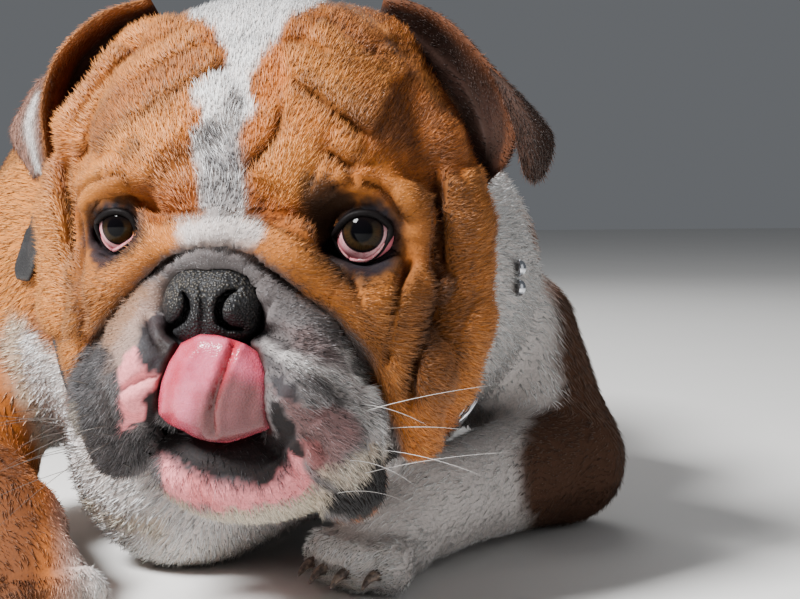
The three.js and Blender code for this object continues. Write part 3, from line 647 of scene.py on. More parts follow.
MOTTLED = ("ash", "grey", "slate", "flush")
# The near-black red inside the mouth round the tongue: partly the mouth's own dark lining, partly painted
# shade in the gap
MOUTH_RED = (0.04, 0.012, 0.012)
EAR_INSIDE = (0.042, 0.024, 0.019)
EAR_RIMS = {"left": (0.13, 0.052, 0.026), "right": (0.42, 0.175, 0.062)}
EAR_FLAPS = {"left": (0.045, 0.026, 0.020), "right": (0.30, 0.17, 0.13)}

# Markings of the face, with patches of painted shade and painted light, as seen in the
# view: colour, strength, softness of the edge, how bare of hair the place is, and its outline
FACE_MARKS_AND_PAINTED_LIGHT = [
    ("ash", 1.0, 12, 0.1, [
        (180, 248), (160, 259), (144, 274), (130, 288), (118, 302), (108, 319), (99, 334), (82, 350),
        (72, 372), (66, 400), (66, 430), (72, 458), (90, 476), (108, 484), (130, 480), (136, 500),
        (170, 522), (220, 532), (280, 530), (320, 512), (345, 522), (380, 510), (400, 480), (400, 450),
        (390, 420), (376, 390), (368, 358), (350, 336), (338, 323), (324, 311), (308, 297), (294, 284),
        (277, 271), (258, 260), (240, 249), (215, 243), (195, 244)]),
    ("gold", 0.7, 16, 0, [
        (40, 190), (68, 200), (74, 260), (82, 340), (60, 390), (36, 330)]),
    # Painted light: the brow by the left eye's inner corner is painted golden where the light falls on it
    ("gold", 0.95, 16, 0, [
        (262, 150), (300, 140), (322, 160), (318, 190), (290, 205), (262, 190)]),
    ("gold", 0.7, 14, 0, [
        (84, 180), (110, 135), (150, 120), (185, 125), (160, 145), (110, 165), (90, 205), (80, 240)]),
    ("gold", 0.8, 16, 0, [
        (300, 50), (350, 80), (368, 120), (340, 105), (300, 75)]),
    ("russet", 0.7, 14, 0, [
        (150, 190), (200, 185), (204, 214), (176, 220), (140, 232), (138, 205)]),
    ("russet", 0.7, 12, 0, [
        (240, 180), (262, 200), (300, 215), (262, 222), (240, 214)]),
    ("russet", 0.5, 12, 0, [
        (200, 95), (208, 120), (200, 140), (188, 130)]),
    ("russet", 0.5, 16, 0, [
        (84, 130), (120, 90), (160, 66), (200, 50), (214, 60), (170, 86), (130, 112), (100, 160)]),
    # Partly the coat's own darker hair and partly painted shade: brown under the right brow and along both
    # folds beside the nose
    ("brown", 0.35, 16, 0, [
        (100, 180), (140, 172), (160, 150), (190, 150), (200, 176), (170, 196), (130, 196)]),
    ("brown", 0.4, 14, 0, [
        (96, 318), (120, 286), (150, 256), (160, 262), (130, 298), (104, 336)]),
    ("brown", 0.35, 16, 0, [
        (300, 250), (340, 300), (372, 350), (390, 400), (380, 350), (350, 290), (320, 262)]),
    # Partly the coat's own darker hair and partly painted shade: brown over the folds between the left eye
    # and cheek
    ("brown", 0.45, 20, 0, [
        (395, 90), (440, 110), (470, 200), (480, 300), (440, 420), (400, 380), (420, 250)]),
    ("white", 1.0, 7, 0, [
        (168, -40), (320, -40), (322, 2), (300, 14), (280, 26), (277, 44), (262, 58), (250, 80), (247, 96),
        (256, 113), (246, 122), (239, 140), (237, 160), (240, 180), (241, 214), (236, 222), (206, 222),
        (203, 200), (200, 170), (190, 156), (196, 135), (206, 125), (206, 108), (192, 100), (196, 88),
        (222, 70), (228, 58), (218, 44), (216, 28), (195, 22), (180, 12)]),
    ("grey", 0.55, 12, 0, [
        (196, 140), (206, 120), (215, 140), (212, 190), (206, 212), (198, 180)]),
    # Painted shade: the white blaze is painted grey in the hollow between the brows
    ("grey", 0.95, 20, 0, [
        (206, 128), (242, 126), (242, 212), (207, 214)]),
    # Painted shade: brown on the shaded side of the forehead's roll above the left eye
    ("brown", 0.5, 18, 0, [
        (338, 84), (372, 90), (402, 98), (412, 150), (382, 152), (350, 128)]),
    ("grey", 0.7, 8, 0, [
        (222, 96), (244, 100), (246, 114), (226, 118)]),
    ("grey", 0.5, 8, 0, [
        (216, 38), (276, 38), (278, 46), (222, 50)]),
    ("white", 0.85, 10, 0, [
        (182, 222), (206, 217), (238, 217), (258, 221), (262, 240), (240, 246), (205, 243), (185, 246),
        (176, 234)]),
    ("grey", 0.45, 10, 0, [
        (186, 232), (250, 230), (262, 244), (236, 246), (204, 244), (180, 250)]),
    ("umber", 0.85, 10, 0, [
        (82, 220), (90, 206), (104, 197), (120, 195), (136, 201), (144, 216), (146, 234), (140, 248),
        (122, 262), (100, 264), (88, 246)]),
    ("dusk", 0.9, 6, 0.3, [
        (86, 222), (96, 228), (98, 245), (108, 256), (120, 252), (122, 258), (106, 270), (97, 270),
        (90, 256), (85, 240)]),
    ("ink", 1.0, 7, 1, [
        (88, 229), (95, 214), (105, 205), (118, 203), (130, 208), (137, 220), (139, 236), (130, 246),
        (114, 256), (103, 257), (94, 244)]),
    ("shade", 0.8, 12, 0, [
        (300, 175), (330, 178), (350, 195), (340, 215), (325, 235), (306, 228), (298, 200)]),
    ("umber", 0.9, 18, 0, [
        (306, 196), (322, 188), (340, 190), (352, 198), (372, 196), (394, 204), (408, 222), (411, 246),
        (404, 268), (386, 282), (360, 287), (336, 280), (320, 264), (314, 240)]),
    ("ink", 1.0, 10, 0.95, [
        (318, 248), (330, 231), (339, 216), (350, 207), (364, 203), (380, 206), (392, 216), (401, 230),
        (400, 250), (390, 266), (372, 277), (352, 276), (332, 264)]),
    ("grey", 0.95, 8, 0.1, [
        (158, 286), (160, 272), (170, 258), (187, 248), (206, 243), (226, 244), (247, 251), (264, 263),
        (282, 280), (300, 300), (330, 330), (352, 352), (330, 352), (300, 352), (262, 340), (250, 330),
        (262, 300), (250, 280), (230, 266), (190, 266), (168, 280), (162, 300), (150, 312), (140, 330),
        (128, 350), (140, 305)]),
    ("tan", 0.8, 8, 0.1, [
        (100, 350), (106, 318), (126, 292), (152, 280), (154, 296), (138, 315), (128, 338), (114, 356)]),
    ("pale", 0.9, 8, 0.1, [
        (140, 300), (152, 286), (164, 276), (160, 300), (152, 314), (142, 322), (138, 342), (128, 358),
        (116, 374), (100, 386), (104, 362), (122, 340), (130, 318)]),
    ("slate", 0.85, 7, 0.1, [
        (84, 352), (100, 344), (112, 350), (118, 366), (118, 392), (120, 420), (134, 436), (150, 432),
        (158, 440), (138, 462), (128, 478), (108, 480), (88, 472), (72, 455), (68, 425), (70, 400),
        (76, 370)]),
    ("grey", 0.55, 8, 0.1, [
        (98, 372), (112, 376), (116, 410), (118, 432), (106, 430), (102, 400)]),
    ("cream", 0.45, 8, 0, [
        (72, 402), (80, 410), (84, 440), (80, 462), (70, 450), (68, 425)]),
    ("pink", 1.0, 3.5, 1, [
        (118, 372), (124, 358), (136, 346), (141, 362), (149, 373), (161, 377), (160, 388), (149, 393),
        (144, 406), (145, 420), (133, 427), (126, 433), (120, 418), (117, 400), (122, 390)]),
    ("slate", 1.0, 4, 1, [
        (144, 320), (153, 313), (164, 315), (176, 324), (192, 330), (184, 345), (172, 356), (165, 369),
        (157, 375), (146, 372), (139, 361), (136, 350), (140, 335)]),
    ("black", 0.8, 4, 1, [
        (162, 326), (186, 330), (190, 338), (176, 350), (166, 364), (158, 368), (156, 350)]),
    ("black", 1.0, 3, 1, [
        (142, 402), (149, 389), (158, 384), (158, 400), (157, 414), (164, 424), (153, 432), (145, 424)]),
    ("slate", 0.8, 10, 0.2, [
        (240, 318), (262, 312), (280, 322), (296, 345), (290, 372), (268, 372), (258, 352), (236, 332)]),
    ("grey", 0.9, 14, 0.1, [
        (258, 290), (296, 296), (330, 325), (352, 350), (362, 380), (336, 362), (300, 350), (262, 338)]),
    # Painted shade: the left flew's pink skin, darkened where it lies in shade
    ("pink_in_shade", 0.35, 12, 0.1, [
        (285, 325), (305, 325), (330, 345), (352, 360), (362, 385), (350, 400), (330, 372), (300, 352)]),
    ("white", 0.5, 10, 0.1, [
        (262, 342), (300, 356), (336, 364), (352, 378), (362, 400), (384, 420), (395, 445), (384, 452),
        (366, 432), (350, 410), (322, 378), (286, 362)]),
    ("white", 0.7, 7, 0.2, [
        (334, 346), (352, 352), (366, 372), (374, 398), (366, 404), (354, 380), (338, 360)]),
    ("slate", 0.6, 10, 0.1, [
        (298, 366), (316, 369), (336, 380), (352, 394), (346, 402), (328, 396), (310, 386)]),
    # Painted shade: the pink of the left flew, darkened where it lies in shade
    ("pink_in_shade", 0.85, 9, 0.45, [
        (270, 386), (284, 396), (304, 406), (330, 402), (352, 412), (358, 436), (344, 462), (328, 478),
        (314, 470), (306, 448), (294, 424), (280, 404)]),
    ("flush", 0.4, 6, 0.9, [
        (300, 440), (322, 440), (332, 456), (322, 470), (308, 462)]),
    ("slate", 1.0, 3.5, 0.9, [
        (270, 378), (285, 375), (298, 385), (304, 398), (298, 408), (286, 401), (275, 392)]),
    ("black", 1.0, 4, 1, [
        (268, 400), (276, 400), (286, 414), (298, 426), (302, 441), (309, 452), (302, 468), (289, 460),
        (284, 445), (277, 431), (269, 416)]),
    ("cream", 0.6, 8, 0.1, [
        (318, 470), (345, 466), (366, 446), (384, 440), (380, 466), (360, 482), (332, 490)]),
    ("black", 1.0, 5, 0.1, [
        (324, 494), (344, 489), (360, 480), (378, 458), (390, 440), (398, 460), (394, 484), (378, 506),
        (360, 519), (338, 514), (326, 505)]),
    ("pink", 0.95, 5, 0.7, [
        (158, 450), (175, 458), (200, 466), (240, 478), (285, 452), (305, 460), (312, 486), (290, 500),
        (252, 506), (224, 512), (204, 506), (182, 500), (166, 490), (160, 474)]),
    ("flush", 0.5, 7, 0.7, [
        (182, 474), (200, 472), (212, 490), (224, 508), (206, 506), (190, 496)]),
    ("cream", 0.9, 6, 0.05, [
        (136, 478), (156, 484), (168, 493), (188, 503), (214, 512), (250, 508), (292, 500), (314, 486),
        (330, 495), (318, 514), (280, 530), (220, 535), (160, 515), (130, 495)]),
    ("slate", 0.9, 9, 0.6, [
        (156, 440), (180, 456), (214, 468), (250, 472), (288, 450), (296, 462), (282, 480), (258, 490),
        (232, 488), (200, 484), (176, 470), (158, 458)]),
    ("black", 1.0, 5, 0.8, [
        (150, 424), (165, 424), (190, 434), (225, 440), (270, 430), (290, 442), (292, 458), (276, 466),
        (270, 482), (258, 486), (248, 482), (236, 479), (214, 480), (200, 470), (176, 459), (157, 449)]),
]

# Rows of places of the ears' sheets as seen in the view: u, v and the distance away
EAR_SHEETS = {
    "left_shell": [
        [(374, 44, 672), (378, 22, 676), (384, -2, 668)],
        [(398, 46, 668), (405, 26, 672), (412, 2, 660)],
        [(424, 76, 668), (438, 52, 676), (450, 22, 652)],
        [(444, 104, 666), (464, 80, 676), (486, 60, 642)],
        [(458, 134, 664), (482, 112, 674), (512, 92, 634)],
        [(468, 166, 662), (490, 142, 670), (516, 134, 638)],
        [(478, 200, 660), (490, 180, 664), (503, 168, 644)],
    ],
    "left_flap": [
        [(488, 66, 640), (500, 78, 634), (512, 92, 636)],
        [(500, 92, 632), (520, 104, 626), (538, 118, 632)],
        [(514, 128, 628), (532, 130, 622), (553, 138, 628)],
        [(519, 152, 628), (534, 154, 622), (550, 160, 628)],
        [(526, 176, 630), (533, 180, 626), (540, 178, 630)],
    ],
    "right_shell": [
        [(168, 34, 700), (160, 16, 704), (150, -2, 690)],
        [(140, 52, 700), (122, 30, 708), (104, 12, 682)],
        [(112, 82, 700), (84, 58, 708), (66, 44, 676)],
        [(90, 112, 700), (66, 92, 706), (48, 76, 670)],
        [(76, 146, 700), (58, 130, 704), (42, 112, 668)],
        [(70, 182, 698), (58, 168, 700), (46, 150, 670)],
        [(66, 204, 696), (60, 192, 696), (50, 178, 676)],
    ],
    "right_flap": [
        [(52, 72, 672), (46, 76, 678), (40, 82, 684)],
        [(46, 96, 672), (36, 98, 682), (26, 104, 690)],
        [(43, 122, 672), (27, 126, 684), (11, 132, 692)],
        [(44, 148, 674), (33, 152, 684), (21, 156, 690)],
        [(47, 170, 676), (41, 175, 682), (35, 178, 686)],
    ],
}
EAR_THICK = 3.2
EAR_GRIDS = {"shell": (44, 30), "flap": (34, 22)}

# Markings of the body, with a patch of painted shade, as seen in the view, in the same form
BODY_MARKS_AND_PAINTED_SHADE = [
    ("gold", 0.75, 30, 0, [
        (-80, 110), (40, 140), (44, 300), (20, 330), (-80, 340)]),
    ("cream", 0.85, 14, 0, [
        (6, 312), (30, 318), (52, 350), (72, 400), (84, 455), (112, 494), (160, 514), (170, 540),
        (110, 524), (70, 506), (40, 460), (18, 400), (2, 350)]),
    ("white", 1.0, 10, 0, [
        (20, 322), (42, 334), (64, 370), (80, 422), (90, 468), (124, 498), (166, 516), (104, 508),
        (66, 480), (44, 432), (28, 380)]),
    # Painted shade: brown over the right foreleg and low chest, which lie in shade
    ("brown", 0.85, 24, 0, [
        (-80, 430), (6, 440), (30, 470), (44, 520), (40, 610), (-80, 610)]),
    ("white", 1.0, 12, 0, [
        (480, 170), (516, 180), (534, 250), (548, 296), (557, 345), (561, 378), (550, 408), (522, 426),
        (510, 450), (516, 500), (530, 540), (400, 620), (330, 560), (460, 420)]),
    ("bark", 1.0, 16, 0, [
        (519, 170), (538, 250), (552, 296), (561, 345), (566, 380), (555, 412), (526, 430), (515, 452),
        (520, 505), (536, 540), (680, 540), (680, 160)]),
]


def curve_through(points, count):
    """A smooth curve through points, as `count` places."""
    points = np.asarray(points, float)
    ends = np.concatenate([2 * points[:1] - points[1:2], points, 2 * points[-1:] - points[-2:-1]])
    t = np.linspace(0, len(points) - 1, count)
    i = np.minimum(t.astype(int), len(points) - 2)
    f = (t - i).reshape((-1,) + (1,) * (points.ndim - 1))
    a, b, c, d = ends[i], ends[i + 1], ends[i + 2], ends[i + 3]
    square = (2 * a - 5 * b + 4 * c - d) * f ** 2
    cube = (3 * b - a - 3 * c + d) * f ** 3
    return 0.5 * (2 * b + (c - a) * f + square + cube)


def ear_mesh(rows, along, across, thick):
    """A rounded sheet through rows of places: corners, faces, and where each corner lies
    along it, across it, and on its front or back."""
    places = np.array([[seen(*place) for place in row] for row in rows])
    grid = curve_through(places, along + 1)
    grid = np.swapaxes(curve_through(np.swapaxes(grid, 0, 1), across + 1), 0, 1)
    da, db = np.gradient(grid, axis=0), np.gradient(grid, axis=1)
    normal = unit(np.cross(da, db))
    i, k = np.meshgrid(np.arange(along + 1), np.arange(across + 1), indexing="ij")
    border = np.minimum(np.minimum(i, along - i) * 1.0, np.minimum(k, across - k) * 1.0)
    swell = np.sqrt(np.clip(1 - (1 - np.clip(border / 3, 0, 1)) ** 2, 0.02, 1))
    wide = across + 1
    sides = [grid + normal * (swell * thick * s * 0.5)[..., None] for s in (1, -1)]
    verts = np.concatenate([side.reshape(-1, 3) for side in sides])
    count = (along + 1) * wide
    a = (i * wide + k)[:-1, :-1].ravel()
    front = np.concatenate([np.stack([a, a + wide, a + 1], 1), np.stack([a + 1, a + wide, a + wide + 1], 1)])
    back = front[:, ::-1] + count
    loop = np.concatenate([np.arange(wide), np.arange(1, along + 1) * wide + across,
                           along * wide + np.arange(across - 1, -1, -1), np.arange(along - 1, 0, -1) * wide])
    nxt = np.roll(loop, -1)
    rim = np.concatenate([np.stack([loop, nxt, nxt + count], 1),
                          np.stack([loop, nxt + count, loop + count], 1)])
    faces = outward(verts, np.concatenate([front, back, rim]))
    spot = np.stack([np.tile((i / along).ravel(), 2), np.tile((k / across).ravel(), 2)], 1)
    return verts, faces, spot


def outward(verts, faces, centre=0.0):
    """The faces, all turned over where they would look toward the centre."""
    a, b, c = (verts[faces[:, n]] - centre for n in range(3))
    return faces[:, ::-1] if (np.cross(a, b) * c).sum() < 0 else faces


def mesh_piece(name, verts, faces, smooth=True):
    """A new piece from corners in millimetres and faces."""
    mesh = bpy.data.meshes.new(name)
    verts = np.asarray(verts, float) * MILLI
    faces = np.asarray(faces)
    mesh.vertices.add(len(verts))
    mesh.vertices.foreach_set("co", verts.ravel())
    sides = faces.shape[1]
    mesh.loops.add(faces.size)
    mesh.loops.foreach_set("vertex_index", faces.ravel())
    mesh.polygons.add(len(faces))
    mesh.polygons.foreach_set("loop_start", np.arange(len(faces)) * sides)
    mesh.polygons.foreach_set("use_smooth", np.full(len(faces), smooth))
    mesh.update(calc_edges=True)
    mesh.validate()
    piece = bpy.data.objects.new(name, mesh)
    bpy.context.scene.collection.objects.link(piece)
    return piece


def put_attribute(piece, name, kind, values):
    if kind == "FLOAT_COLOR":
        values = np.column_stack([values, np.ones(len(values))])
    layer = piece.data.attributes.new(name, kind, "POINT")
    field = {"FLOAT_COLOR": "color", "FLOAT_VECTOR": "vector", "FLOAT": "value"}[kind]
    layer.data.foreach_set(field, np.asarray(values, np.float32).ravel())


def read_attribute(piece, name, width):
    layer = piece.data.attributes[name]
    field = {4: "color", 3: "vector", 1: "value"}[width]
    values = np.empty(len(layer.data) * width, np.float32)
    layer.data.foreach_get(field, values)
    return values.reshape(-1, width) if width > 1 else values


def finish_piece(piece, material, *nodes, slot=None):
    piece.data.materials.append(material)
    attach(piece, "root")
    if nodes:
        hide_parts(*nodes)


class Wire:
    """A value in a material, which sums and products carry on as Math nodes."""

    def __init__(self, finish, socket):
        self.finish, self.socket = finish, socket

    def maths(self, operation, *values):
        return self.finish.node("ShaderNodeMath", {"operation": operation}, dict(enumerate(values)))

    def __add__(self, other):
        return self.maths("ADD", self, other)

    def __sub__(self, other):
        return self.maths("SUBTRACT", self, other)

    def __rsub__(self, other):
        return self.maths("SUBTRACT", other, self)

    def __mul__(self, other):
        return self.maths("MULTIPLY", self, other)

    __radd__, __rmul__ = __add__, __mul__

    def eased(self, low, high):
        return self.finish.node("ShaderNodeMapRange", {"interpolation_type": "SMOOTHSTEP"},
                                {0: self, 1: low, 2: high, 3: 0.0, 4: 1.0})


class Finish:
    """One procedural material."""

    def __init__(self, name, **sockets):
        self.material = bpy.data.materials.new(name)
        self.material.use_nodes = True
        self.tree = self.material.node_tree
        self.shader = self.tree.nodes["Principled BSDF"]
        for socket, value in sockets.items():
            self.shader.inputs[socket.replace("_", " ")].default_value = value

    def node(self, kind, settings, inputs, output=0):
        made = self.tree.nodes.new(kind)
        for key, value in settings.items():
            setattr(made, key, value)
        for key, value in inputs.items():
            if isinstance(value, Wire):
                self.tree.links.new(value.socket, made.inputs[key])
            else:
                made.inputs[key].default_value = value
        return Wire(self, made.outputs[output])

    def place(self):
        return self.node("ShaderNodeTexCoord", {}, {}, "Object")

    def attribute(self, name, output="Color"):
        return self.node("ShaderNodeAttribute", {"attribute_name": name}, {}, output)

    def noise(self, scale, detail=3.0, rough=0.55, where=None):
        return self.node("ShaderNodeTexNoise", {}, {"Vector": where or self.place(), "Scale": scale,
                                                    "Detail": detail, "Roughness": rough}, "Fac")

    def cells(self, scale, feature="F1", where=None):
        return self.node("ShaderNodeTexVoronoi", {"feature": feature},
                         {"Vector": where or self.place(), "Scale": scale}, "Distance")

    def mix(self, factor, a, b, blend="MIX"):
        settings = {"data_type": "RGBA", "blend_type": blend}
        return self.node("ShaderNodeMix", settings, {0: factor, 6: a, 7: b}, 2)

    def bump(self, height, strength, distance):
        normal = self.node("ShaderNodeBump", {},
                           {"Strength": strength, "Distance": distance, "Height": height})
        self.tree.links.new(normal.socket, self.shader.inputs["Normal"])

    def feed(self, **wires):
        for name, wire in wires.items():
            self.tree.links.new(wire.socket, self.shader.inputs[name.replace("_", " ")])
        return self.material


def mingled(a, b, share):
    """Colours a and b mixed, with b's share given for each place."""
    share = np.asarray(share)[..., None]
    return a * (1 - share) + b * share


def colour_of(name):
    return np.array(COLOURS[name])


def marked(colour, bare, verts, uv, mask, table):
    """Markings, and patches of painted shade and painted light, laid over the colour, and over how bare the
    skin is.
    """
    near = np.flatnonzero(mask > 0.02)
    grain = ripple(verts[near], 3.5, 5)
    spot = uv[near] + (np.stack([ripple(verts[near], 16, 3), grain], 1) - 0.5) * 7
    layer, naked = colour[near], bare[near]
    for name, strength, soft, bareness, outline in table:
        amount = strength * (1 - ease(area_distance(spot, outline), -soft * 0.5, soft * 0.5)) * mask[near]
        if name in MOTTLED and strength < 1:
            amount = np.clip(amount * (0.62 + 0.5 * grain), 0, 1)
        layer = mingled(layer, colour_of(name), amount)
        naked = naked * (1 - amount) + bareness * amount
    colour[near], bare[near] = layer, naked


def head_coat(verts, uv, shade, ridge_highlight, face_mask):
    """Colour and bareness of the head's skin, with painted shade in the creases and painted highlight on the
    rolls.
    """
    tone = 0.66 + 0.44 * ripple(verts, 16, 3) + 0.24 * ripple(verts, 5, 9)
    # Gold comes from random golden patches of the coat, and on the rolls beside the creases it is painted
    # highlight
    gold = np.maximum(ease(ripple(verts, 30, 7), 0.5, 0.9) * 0.35, ridge_highlight * 0.55)
    colour = mingled(colour_of("fawn") * tone[:, None], colour_of("gold"), gold)
    bare = np.zeros(len(verts))
    muzzle = 1 - ease(egg((2, -20, -74), (62, 44, 56))(to_head(verts)), -4, 6)
    colour = mingled(colour, colour_of("slate"), muzzle)
    marked(colour, bare, verts, uv, face_mask, FACE_MARKS_AND_PAINTED_LIGHT)
    # The creases get painted shade: the colour is darkened toward the shade colour
    dark = (shade * 0.8)[:, None]
    return colour * (1 - dark) + colour_of("shade") * dark * 0.8 + colour * dark * 0.1, bare


def body_coat(p):
    """Colour of the body: a fawn back, white neck, chest, belly and feet."""
    wave = ripple(p, 60, 11)
    small = ripple(p, 14, 13)
    x, y, z = p.T
    edge = (wave - 0.5) * 46 + (small - 0.5) * 12
    tone = 0.84 + 0.3 * ripple(p, 26, 17)
    colour = colour_of("fawn") * tone[:, None]

    def paint(amount, name):
        nonlocal colour
        colour = mingled(colour, colour_of(name), np.clip(amount, 0, 1))

    paint(ease(ripple(p, 80, 19), 0.45, 0.9) * 0.5, "gold")
    paint(ease(z + edge * 0.4, 190, 250) * 0.25, "russet")
    collar = 1 - ease(y + edge * 0.5 + 0.30 * (z - 120), -112, -88)
    paint(collar * ease(x, -60, -10), "white")
    paint((1 - ease(y + edge * 0.4, -150, -125)) * (1 - ease(z, 40, 120)), "white")
    paint(1 - ease(z + edge * 0.3, 26, 52), "white")
    paint((1 - ease(np.abs(x) + edge * 0.4, 60, 95)) * (1 - ease(z, 60, 95)), "white")
    left_arm = ease(x - 0.5 * (y + 150), 20, 52)
    paint((x > 0) * left_arm * (1 - ease(z, 80, 110)) * ease(x + edge * 0.2, 118, 134), "bark")
    paint((x < 0) * (1 - ease(z + edge * 0.2, 70, 95)) * (1 - ease(y, -60, -20)) * ease(-x, 96, 120), "fawn")
    paint((1 - ease(z, 4, 26)) * 0.35, "cream")
    return colour


def lie_of(p, normal, in_head, in_legs):
    """The way that the hair lies: away from the nose, back along the body, down the legs."""
    q = to_head(p)
    face = (q - NOSE_PLACE) @ HEAD_TURN.T
    body = np.tile(np.array([0.0, 1.0, -0.42]), (len(p), 1))
    body[:, 0] += p[:, 0] * 0.003
    legs = np.zeros_like(p)
    best = np.full(len(p), 1e9)
    runs = []
    for side in (0, 1):
        for chain in ((SHOULDERS, ELBOWS, WRISTS, FORE_TOES), (HOCKS, HIND_BALLS, HIND_TOES)):
            runs += [(a[side], b[side]) for a, b in zip(chain, chain[1:])]
    runs.append(tuple(TAIL))
    for a, b in runs:
        d = limb(a, b, 0, 0)(p)
        nearer = d < best
        best = np.where(nearer, d, best)
        legs[nearer] = unit(np.array(b, float) - np.array(a, float))
    in_body = 1 - in_head - in_legs
    way = unit(face) * in_head[:, None] + unit(body) * in_body[:, None] + legs * in_legs[:, None]
    way = way - normal * (way * normal).sum(1)[:, None]
    return unit(way)


def hair_length(p, in_head, in_legs):
    """Length of the hair: short by the eyes and the nose, and longest on the body."""
    q = to_head(p)
    eye_near = np.min([np.linalg.norm(q - eye, axis=1) for eye in EYES.values()], axis=0)
    nose_near = np.linalg.norm(q - NOSE_PLACE, axis=1)
    shorter = np.minimum(0.35 + 0.65 * ease(eye_near, 16, 40), 0.45 + 0.55 * ease(nose_near, 20, 60))
    length = np.where(in_head > 0.5, shorter, 2.0)
    return np.where(in_legs > 0.5, 0.9 + 0.8 * ease(p[:, 2], 8, 60), length)


class BulldogSkinSettings(bpy.types.PropertyGroup):
    depth: bpy.props.FloatProperty(name="Coat depth", description="How far the skin lies under the coat",
                                   default=0.001, unit="LENGTH")
    cell: bpy.props.FloatProperty(name="Skin detail", description="Size of the skin's widest faces",
                                  default=0.0064, unit="LENGTH")


class BulldogCoatSettings(bpy.types.PropertyGroup):
    face_count: bpy.props.FloatProperty(name="Face tufts", description="Tufts a square millimetre of face",
                                        default=1.25)
    body_count: bpy.props.FloatProperty(name="Body tufts", description="Tufts a square millimetre of body",
                                        default=0.24)
    face_length: bpy.props.FloatProperty(name="Face hair", description="Length of the hair on the head",
                                         default=0.0048, unit="LENGTH")
    body_length: bpy.props.FloatProperty(name="Body hair", description="Length of the hair on the body",
                                         default=0.009, unit="LENGTH")
    seed: bpy.props.IntProperty(name="Seed", description="Start of the tufts' scatter", default=7)


class BulldogEyeSettings(bpy.types.PropertyGroup):
    amber: bpy.props.FloatVectorProperty(name="Iris", description="Colour of the iris", size=3,
                                         subtype="COLOR", default=(0.011, 0.0065, 0.003))
    haw: bpy.props.FloatVectorProperty(name="Haw", description="Colour of the lid's inner rim", size=3,
                                       subtype="COLOR", default=(0.48, 0.14, 0.17))


class BulldogStageSettings(bpy.types.PropertyGroup):
    floor: bpy.props.FloatProperty(name="Floor", description="Width of the floor", default=8.0, unit="LENGTH")
    key: bpy.props.FloatProperty(name="Key light", description="Power of the main light", default=112.0,
                                 unit="POWER")
    fill: bpy.props.FloatProperty(name="Fill light", description="Power of the second light", default=5.0,
                                  unit="POWER")


class BULLDOG_OT_stage(bpy.types.Operator):
    """Lay the floor and place the soft lights and the camera"""
    bl_idname = "bulldog.stage"
    bl_label = "Stage"
    aim = Vector((0, -0.22, 0.14))
    sky, sky_strength = (0.78, 0.82, 0.88, 1), 0.17
    lens, sensor = 67.5, 36

    def execute(self, context):
        settings = context.scene.bulldog_stage
        bpy.ops.object.select_all(action="DESELECT")
        bpy.ops.mesh.primitive_plane_add(size=settings.floor, location=(0, 1.5, 0))
        floor = context.object
        floor.name = "floor"
        bpy.ops.object.transform_apply(location=True, rotation=False, scale=False)
        finish = Finish("Pale floor", Roughness=0.9)
        grain = finish.noise(6.0, 4.0)
        colour = finish.mix(grain, (0.70, 0.69, 0.67, 1), (0.74, 0.73, 0.71, 1))
        floor.data.materials.append(finish.feed(Base_Color=colour))
        for name, place, size, power in (
            ("key", (-1.10, -0.68, 1.32), 0.45, settings.key),
            ("fill", (1.1, -1.3, 0.6), 1.6, settings.fill),
            ("back", (0.3, 1.3, 1.3), 1.2, settings.fill * 2.2),
        ):
            light = bpy.data.lights.new(name, "AREA")
            light.energy = power
            light.size = size
            lamp = bpy.data.objects.new(name, light)
            lamp.location = place
            lamp.rotation_euler = (self.aim - Vector(place)).to_track_quat("-Z", "Y").to_euler()
            context.scene.collection.objects.link(lamp)
        world = bpy.data.worlds.new("Studio")
        world.use_nodes = True
        background = world.node_tree.nodes["Background"]
        background.inputs["Color"].default_value = self.sky
        background.inputs["Strength"].default_value = self.sky_strength
        context.scene.world = world
        camera = bpy.data.cameras.new("camera")
        camera.lens = self.lens
        camera.sensor_width = self.sensor
        sight = bpy.data.objects.new("camera", camera)
        sight.location = SIGHT_AT * MILLI
        sight.rotation_euler = Vector(AHEAD).to_track_quat("-Z", "Y").to_euler()
        context.scene.collection.objects.link(sight)
        context.scene.camera = sight
        return {"FINISHED"}


def skin_arrays(depth, cell):
    """The dog's skin as one mesh: corners, faces and how much each corner is face, head or leg."""

    def field(p):
        return whole_field(p) + depth

    verts, faces = nets(field, *SKIN_BOX, cell)
    verts = drawn(field, verts, 2)
    for level in range(3):
        q = to_head(verts)
        if level < 2:
            chosen = (q[:, 1] < FACE_DEEP - 14 * level) & (np.abs(q[:, 0]) < 118)
            chosen &= (q[:, 2] > -122) & (q[:, 2] < 112)
        else:
            chosen = np.zeros(len(verts), bool)
            for eye in EYES.values():
                chosen |= np.linalg.norm(q - eye, axis=1) < EYE_DETAIL
        verts, faces = refined(verts, faces, chosen)
        if level == 0:
            verts = drawn(field, verts, 1)
    verts = drawn(field, verts, 2)
    return verts, faces


